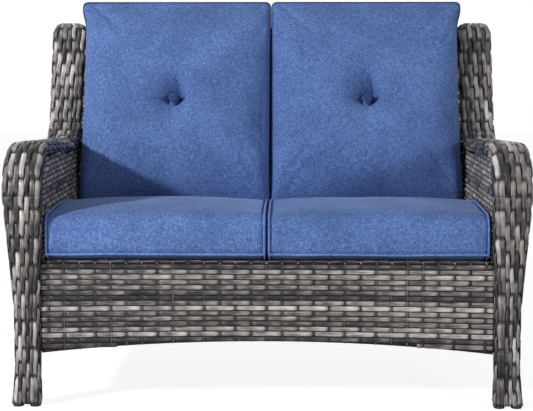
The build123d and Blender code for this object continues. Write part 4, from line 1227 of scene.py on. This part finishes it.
def tuft_folds(x, h, seed):
    """Inward depth of the folds round the button: a steep sided pocket above it that narrows to a point,
    a soft valley below and a faint crease to each side."""
    high = POCKET_HIGH * np.random.default_rng(seed).uniform(0.94, 1.08)
    narrow = np.clip(1 - h / high, 0, 1) * np.clip(1 + h / (32 * MM), 0, 1)
    wall = x - POCKET_WIDE * narrow
    fall = np.where(wall < 0, *POCKET_WALLS)
    pocket = POCKET_DEEP * narrow ** 2 * (3 - 2 * narrow) * np.exp(-np.abs(wall) / fall)
    reach = np.where(x < 0, *VALLEY_WALLS)
    below = VALLEY_DEEP * np.exp(-np.abs(x) / reach) * (h <= 0)
    below = below * np.exp(-np.clip(-h, 0, None) / VALLEY_LONG)
    sides = CREASE_DEEP * np.exp(-np.abs(h - 0.07 * np.abs(x)) / CREASE_WIDE)
    sides = sides * np.exp(-np.abs(x) / CREASE_LONG)
    return (pocket + below) * np.clip((np.hypot(x, h) - 7 * MM) / (9 * MM), 0, 1) + sides


def make_back_cushion(word, seed):
    low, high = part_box(f"{word}_back_cushion")
    foot = CUSHION_FOOT + ((low.x + high.x) / 2, 0, 0)
    frame_ways = np.array([(1, 0, 0), UP, OUT])

    def placed(local):
        return foot + local @ frame_ways

    cover = closed_form(f"{word}_back_cover", *[placed(grid) for grid in back_form()])
    local = (read_points(cover.data) - foot) @ frame_ways.T
    place = np.clip(local[:, 1] / BACK_HIGH, 0, 1)
    rear, _, rim = back_rim(place)
    edge = np.minimum.reduce([back_half(place) - np.abs(local[:, 0]), local[:, 1], BACK_HIGH - local[:, 1]])
    button_gap = np.hypot(local[:, 0], local[:, 1] - TUFT_HEIGHT)
    held = ((edge < 5 * MM) & (np.abs(local[:, 2] - rear - rim) < 6 * MM)) | (button_gap < 14 * MM)
    free = np.clip((local[:, 2] - rear - 1 * MM) / (14 * MM), 0, 1)
    free *= np.where(edge < 12 * MM, 0.4, 1.0)
    free *= np.clip(place / 0.12, 0.2, 1)
    points = swell(cover, held.astype(float), 10 * MM, free)
    outer = -1 if word == "left" else 1
    local = fitted((points - foot) @ frame_ways.T, outer)

    def settle(local):
        """Ripples of the filling, stronger at the front and none where the cushion rests."""
        loose = np.clip((local[:, 2] - 12 * MM) / (30 * MM), 0, 1) * np.clip(local[:, 1] / (60 * MM), 0, 1)
        return local + np.column_stack([np.zeros(len(local)), np.zeros(len(local)),
                                        loose * ripples(local, seed, 3.2 * MM)])

    local = settle(local)
    x, h = local[:, 0], local[:, 1] - TUFT_HEIGHT
    gap = np.hypot(x, h)
    funnel = 0.4 * np.exp(-np.clip(gap - 11 * MM, 0, None) / FUNNEL_NEAR)
    funnel = funnel + 0.6 * np.exp(-gap / FUNNEL_FAR)
    trench = TRENCH_DEEP * bell(gap - 17 * MM, 5 * MM)
    front = local[:, 2] > 55 * MM
    local[:, 2] -= np.where(front, (local[:, 2] - TUFT_SEAT) * funnel + tuft_folds(x, h, seed) + trench, 0)
    rear_funnel = bell(np.clip(gap - 13 * MM, 0, None), 14 * MM)
    local[:, 2] += np.where(~front & (gap < 60 * MM), (REAR_TUFT_SEAT - local[:, 2]) * rear_funnel, 0)
    finish_cover(cover, placed(local), f"{word}_back_cushion", f"{word}_back_cushion")
    welt(f"{word}_back_welt", [(placed(back_seam(local, outer)), OUT)], f"{word}_back_cushion",
         f"{word}_back_piping", SHADED_NAVY_CLOTH)
    for face, depth, way in (("front", TUFT_SEAT, 1), ("rear", REAR_TUFT_SEAT, -1)):
        make_button(word, face, placed(np.array([0, TUFT_HEIGHT, depth])), way * OUT)


# %% [markdown]
# ## Covered buttons
#
# A button is a shell of 27 mm that cloth is drawn over, so its face is a low dome with fine pleats
# at its rim. Its profile is turned round the line of the twine.

# %% Covered buttons
def make_button(word, face, seat, outward):
    """Covered button: a dome of revolution, r = R sin(t) and height = H cos(t), with fine pleats."""
    t = np.linspace(np.pi / 2, 0.02, 12)
    radius = np.concatenate([[0.3 * MM, BUTTON / 2 * 0.92, BUTTON / 2], BUTTON / 2 * np.sin(t)])
    height = np.concatenate([[0, 0, 0.9 * MM], 2.3 * MM + 4.7 * MM * np.cos(t)])
    turn = np.linspace(0, 2 * np.pi, 48, endpoint=False)
    pleat = 1 + 0.02 * np.sin(16 * turn)[None] * (radius / radius.max())[:, None] ** 3
    second = np.cross(outward, (1, 0, 0))
    ring = radius[:, None, None] * pleat[..., None] * (
        np.cos(turn)[:, None] * np.array([1.0, 0, 0]) + np.sin(turn)[:, None] * second)
    cloth = Cloth()
    cloth.grid((seat + ring + height[:, None, None] * outward)[None], np.zeros(2), 0.0, 1.0, 0)
    sew_on(cloth, f"{word}_{face}_button_cover", SHADED_NAVY_CLOTH, f"{word}_back_cushion",
           f"{word}_{face}_button")


make_back_cushion("left", 31)
make_back_cushion("right", 47)

# %% [markdown]
# ## Camera, light and floor
#
# The photograph was taken from straight in front, a little above the arms, with a long lens. A
# strong lamp stands on the left and throws the arm's shadow onto the cushion. A weaker, softer one
# fills from the right, and a pale sky lights the rest. The lamps are set so that a colour comes out
# about as it was written. The floor is pale and plain and keeps the loveseat's shadow.

# %% Camera
CAMERA_RIGHT, CAMERA_BACK, CAMERA_HEIGHT = 0.0645, 3.680, 0.867
CAMERA_PITCH, CAMERA_TURN = 6.27, 1.117
lens = bpy.data.cameras.new("long lens")
lens.sensor_width = 36.0
lens.lens = 92.5
camera = bpy.data.objects.new("camera", lens)
camera.location = (CAMERA_RIGHT, -CAMERA_BACK, CAMERA_HEIGHT)
camera.rotation_euler = (np.radians(90 - CAMERA_PITCH), 0, np.radians(CAMERA_TURN))
scene.collection.objects.link(camera)
scene.camera = camera
scene.view_settings.view_transform = "Standard"


# %% Lamps and sky
def soft_lamp(name, place, aim, size, watts):
    """Square lamp that faces a point."""
    data = bpy.data.lights.new(name, "AREA")
    data.size, data.energy = size, watts
    made = bpy.data.objects.new(name, data)
    made.location = place
    towards = Vector(aim) - Vector(place)
    made.rotation_euler = towards.to_track_quat("-Z", "Y").to_euler()
    scene.collection.objects.link(made)


KEY_PLACE, KEY_SIZE, KEY_WATTS = (-3.9, -3.1, 2.4), 0.3, 215
FILL_PLACE, FILL_SIZE, FILL_WATTS = (3.2, -4.2, 1.75), 0.7, 52
SKY_LIGHT = 0.22
soft_lamp("key lamp left", KEY_PLACE, (0, 0, 0.5), KEY_SIZE, KEY_WATTS)
soft_lamp("fill lamp right", FILL_PLACE, (0, 0, 0.4), FILL_SIZE, FILL_WATTS)
world = bpy.data.worlds.new("pale studio")
scene.world = world
world.use_nodes = True
sky = world.node_tree
path = add(sky, "ShaderNodeLightPath").outputs
seen = add(sky, "ShaderNodeMath", {0: path["Is Camera Ray"], 1: path["Is Glossy Ray"]}, operation="ADD")
seen = add(sky, "ShaderNodeMath", {0: seen.outputs[0], 1: path["Is Transmission Ray"]}, operation="ADD",
           use_clamp=True)
level = add(sky, "ShaderNodeMapRange", {"Value": seen.outputs[0], "To Min": SKY_LIGHT, "To Max": 1.0})
sky.links.new(level.outputs["Result"], sky.nodes["Background"].inputs["Strength"])
sky.nodes["Background"].inputs["Color"].default_value = linear("#ffffff")


# %% Floor
def pale_floor():
    """Matt white floor, drawn brighter to the camera so that it meets the white sky."""
    material, tree, shader = new_material("white painted floor")
    shader.inputs["Base Color"].default_value = linear("#f2f2f2")
    shader.inputs["Roughness"].default_value = 0.9
    seen_by = add(tree, "ShaderNodeLightPath").outputs["Is Camera Ray"]
    share = add(tree, "ShaderNodeMath", {0: seen_by, 1: 0.68}, operation="MULTIPLY").outputs[0]
    glow = add(tree, "ShaderNodeEmission", {"Color": linear("#ffffff"), "Strength": 1.30})
    mixed = add(tree, "ShaderNodeMixShader", {0: share, 1: shader.outputs[0], 2: glow.outputs[0]})
    tree.links.new(mixed.outputs[0], tree.nodes["Material Output"].inputs["Surface"])
    return material


floor_mesh = bpy.data.meshes.new("floor")
floor_mesh.from_pydata([(-12, -12, 0), (12, -12, 0), (12, 12, 0), (-12, 12, 0)], [], [(0, 1, 2, 3)])
floor_mesh.materials.append(pale_floor())
floor = bpy.data.objects.new("floor", floor_mesh)
scene.collection.objects.link(floor)
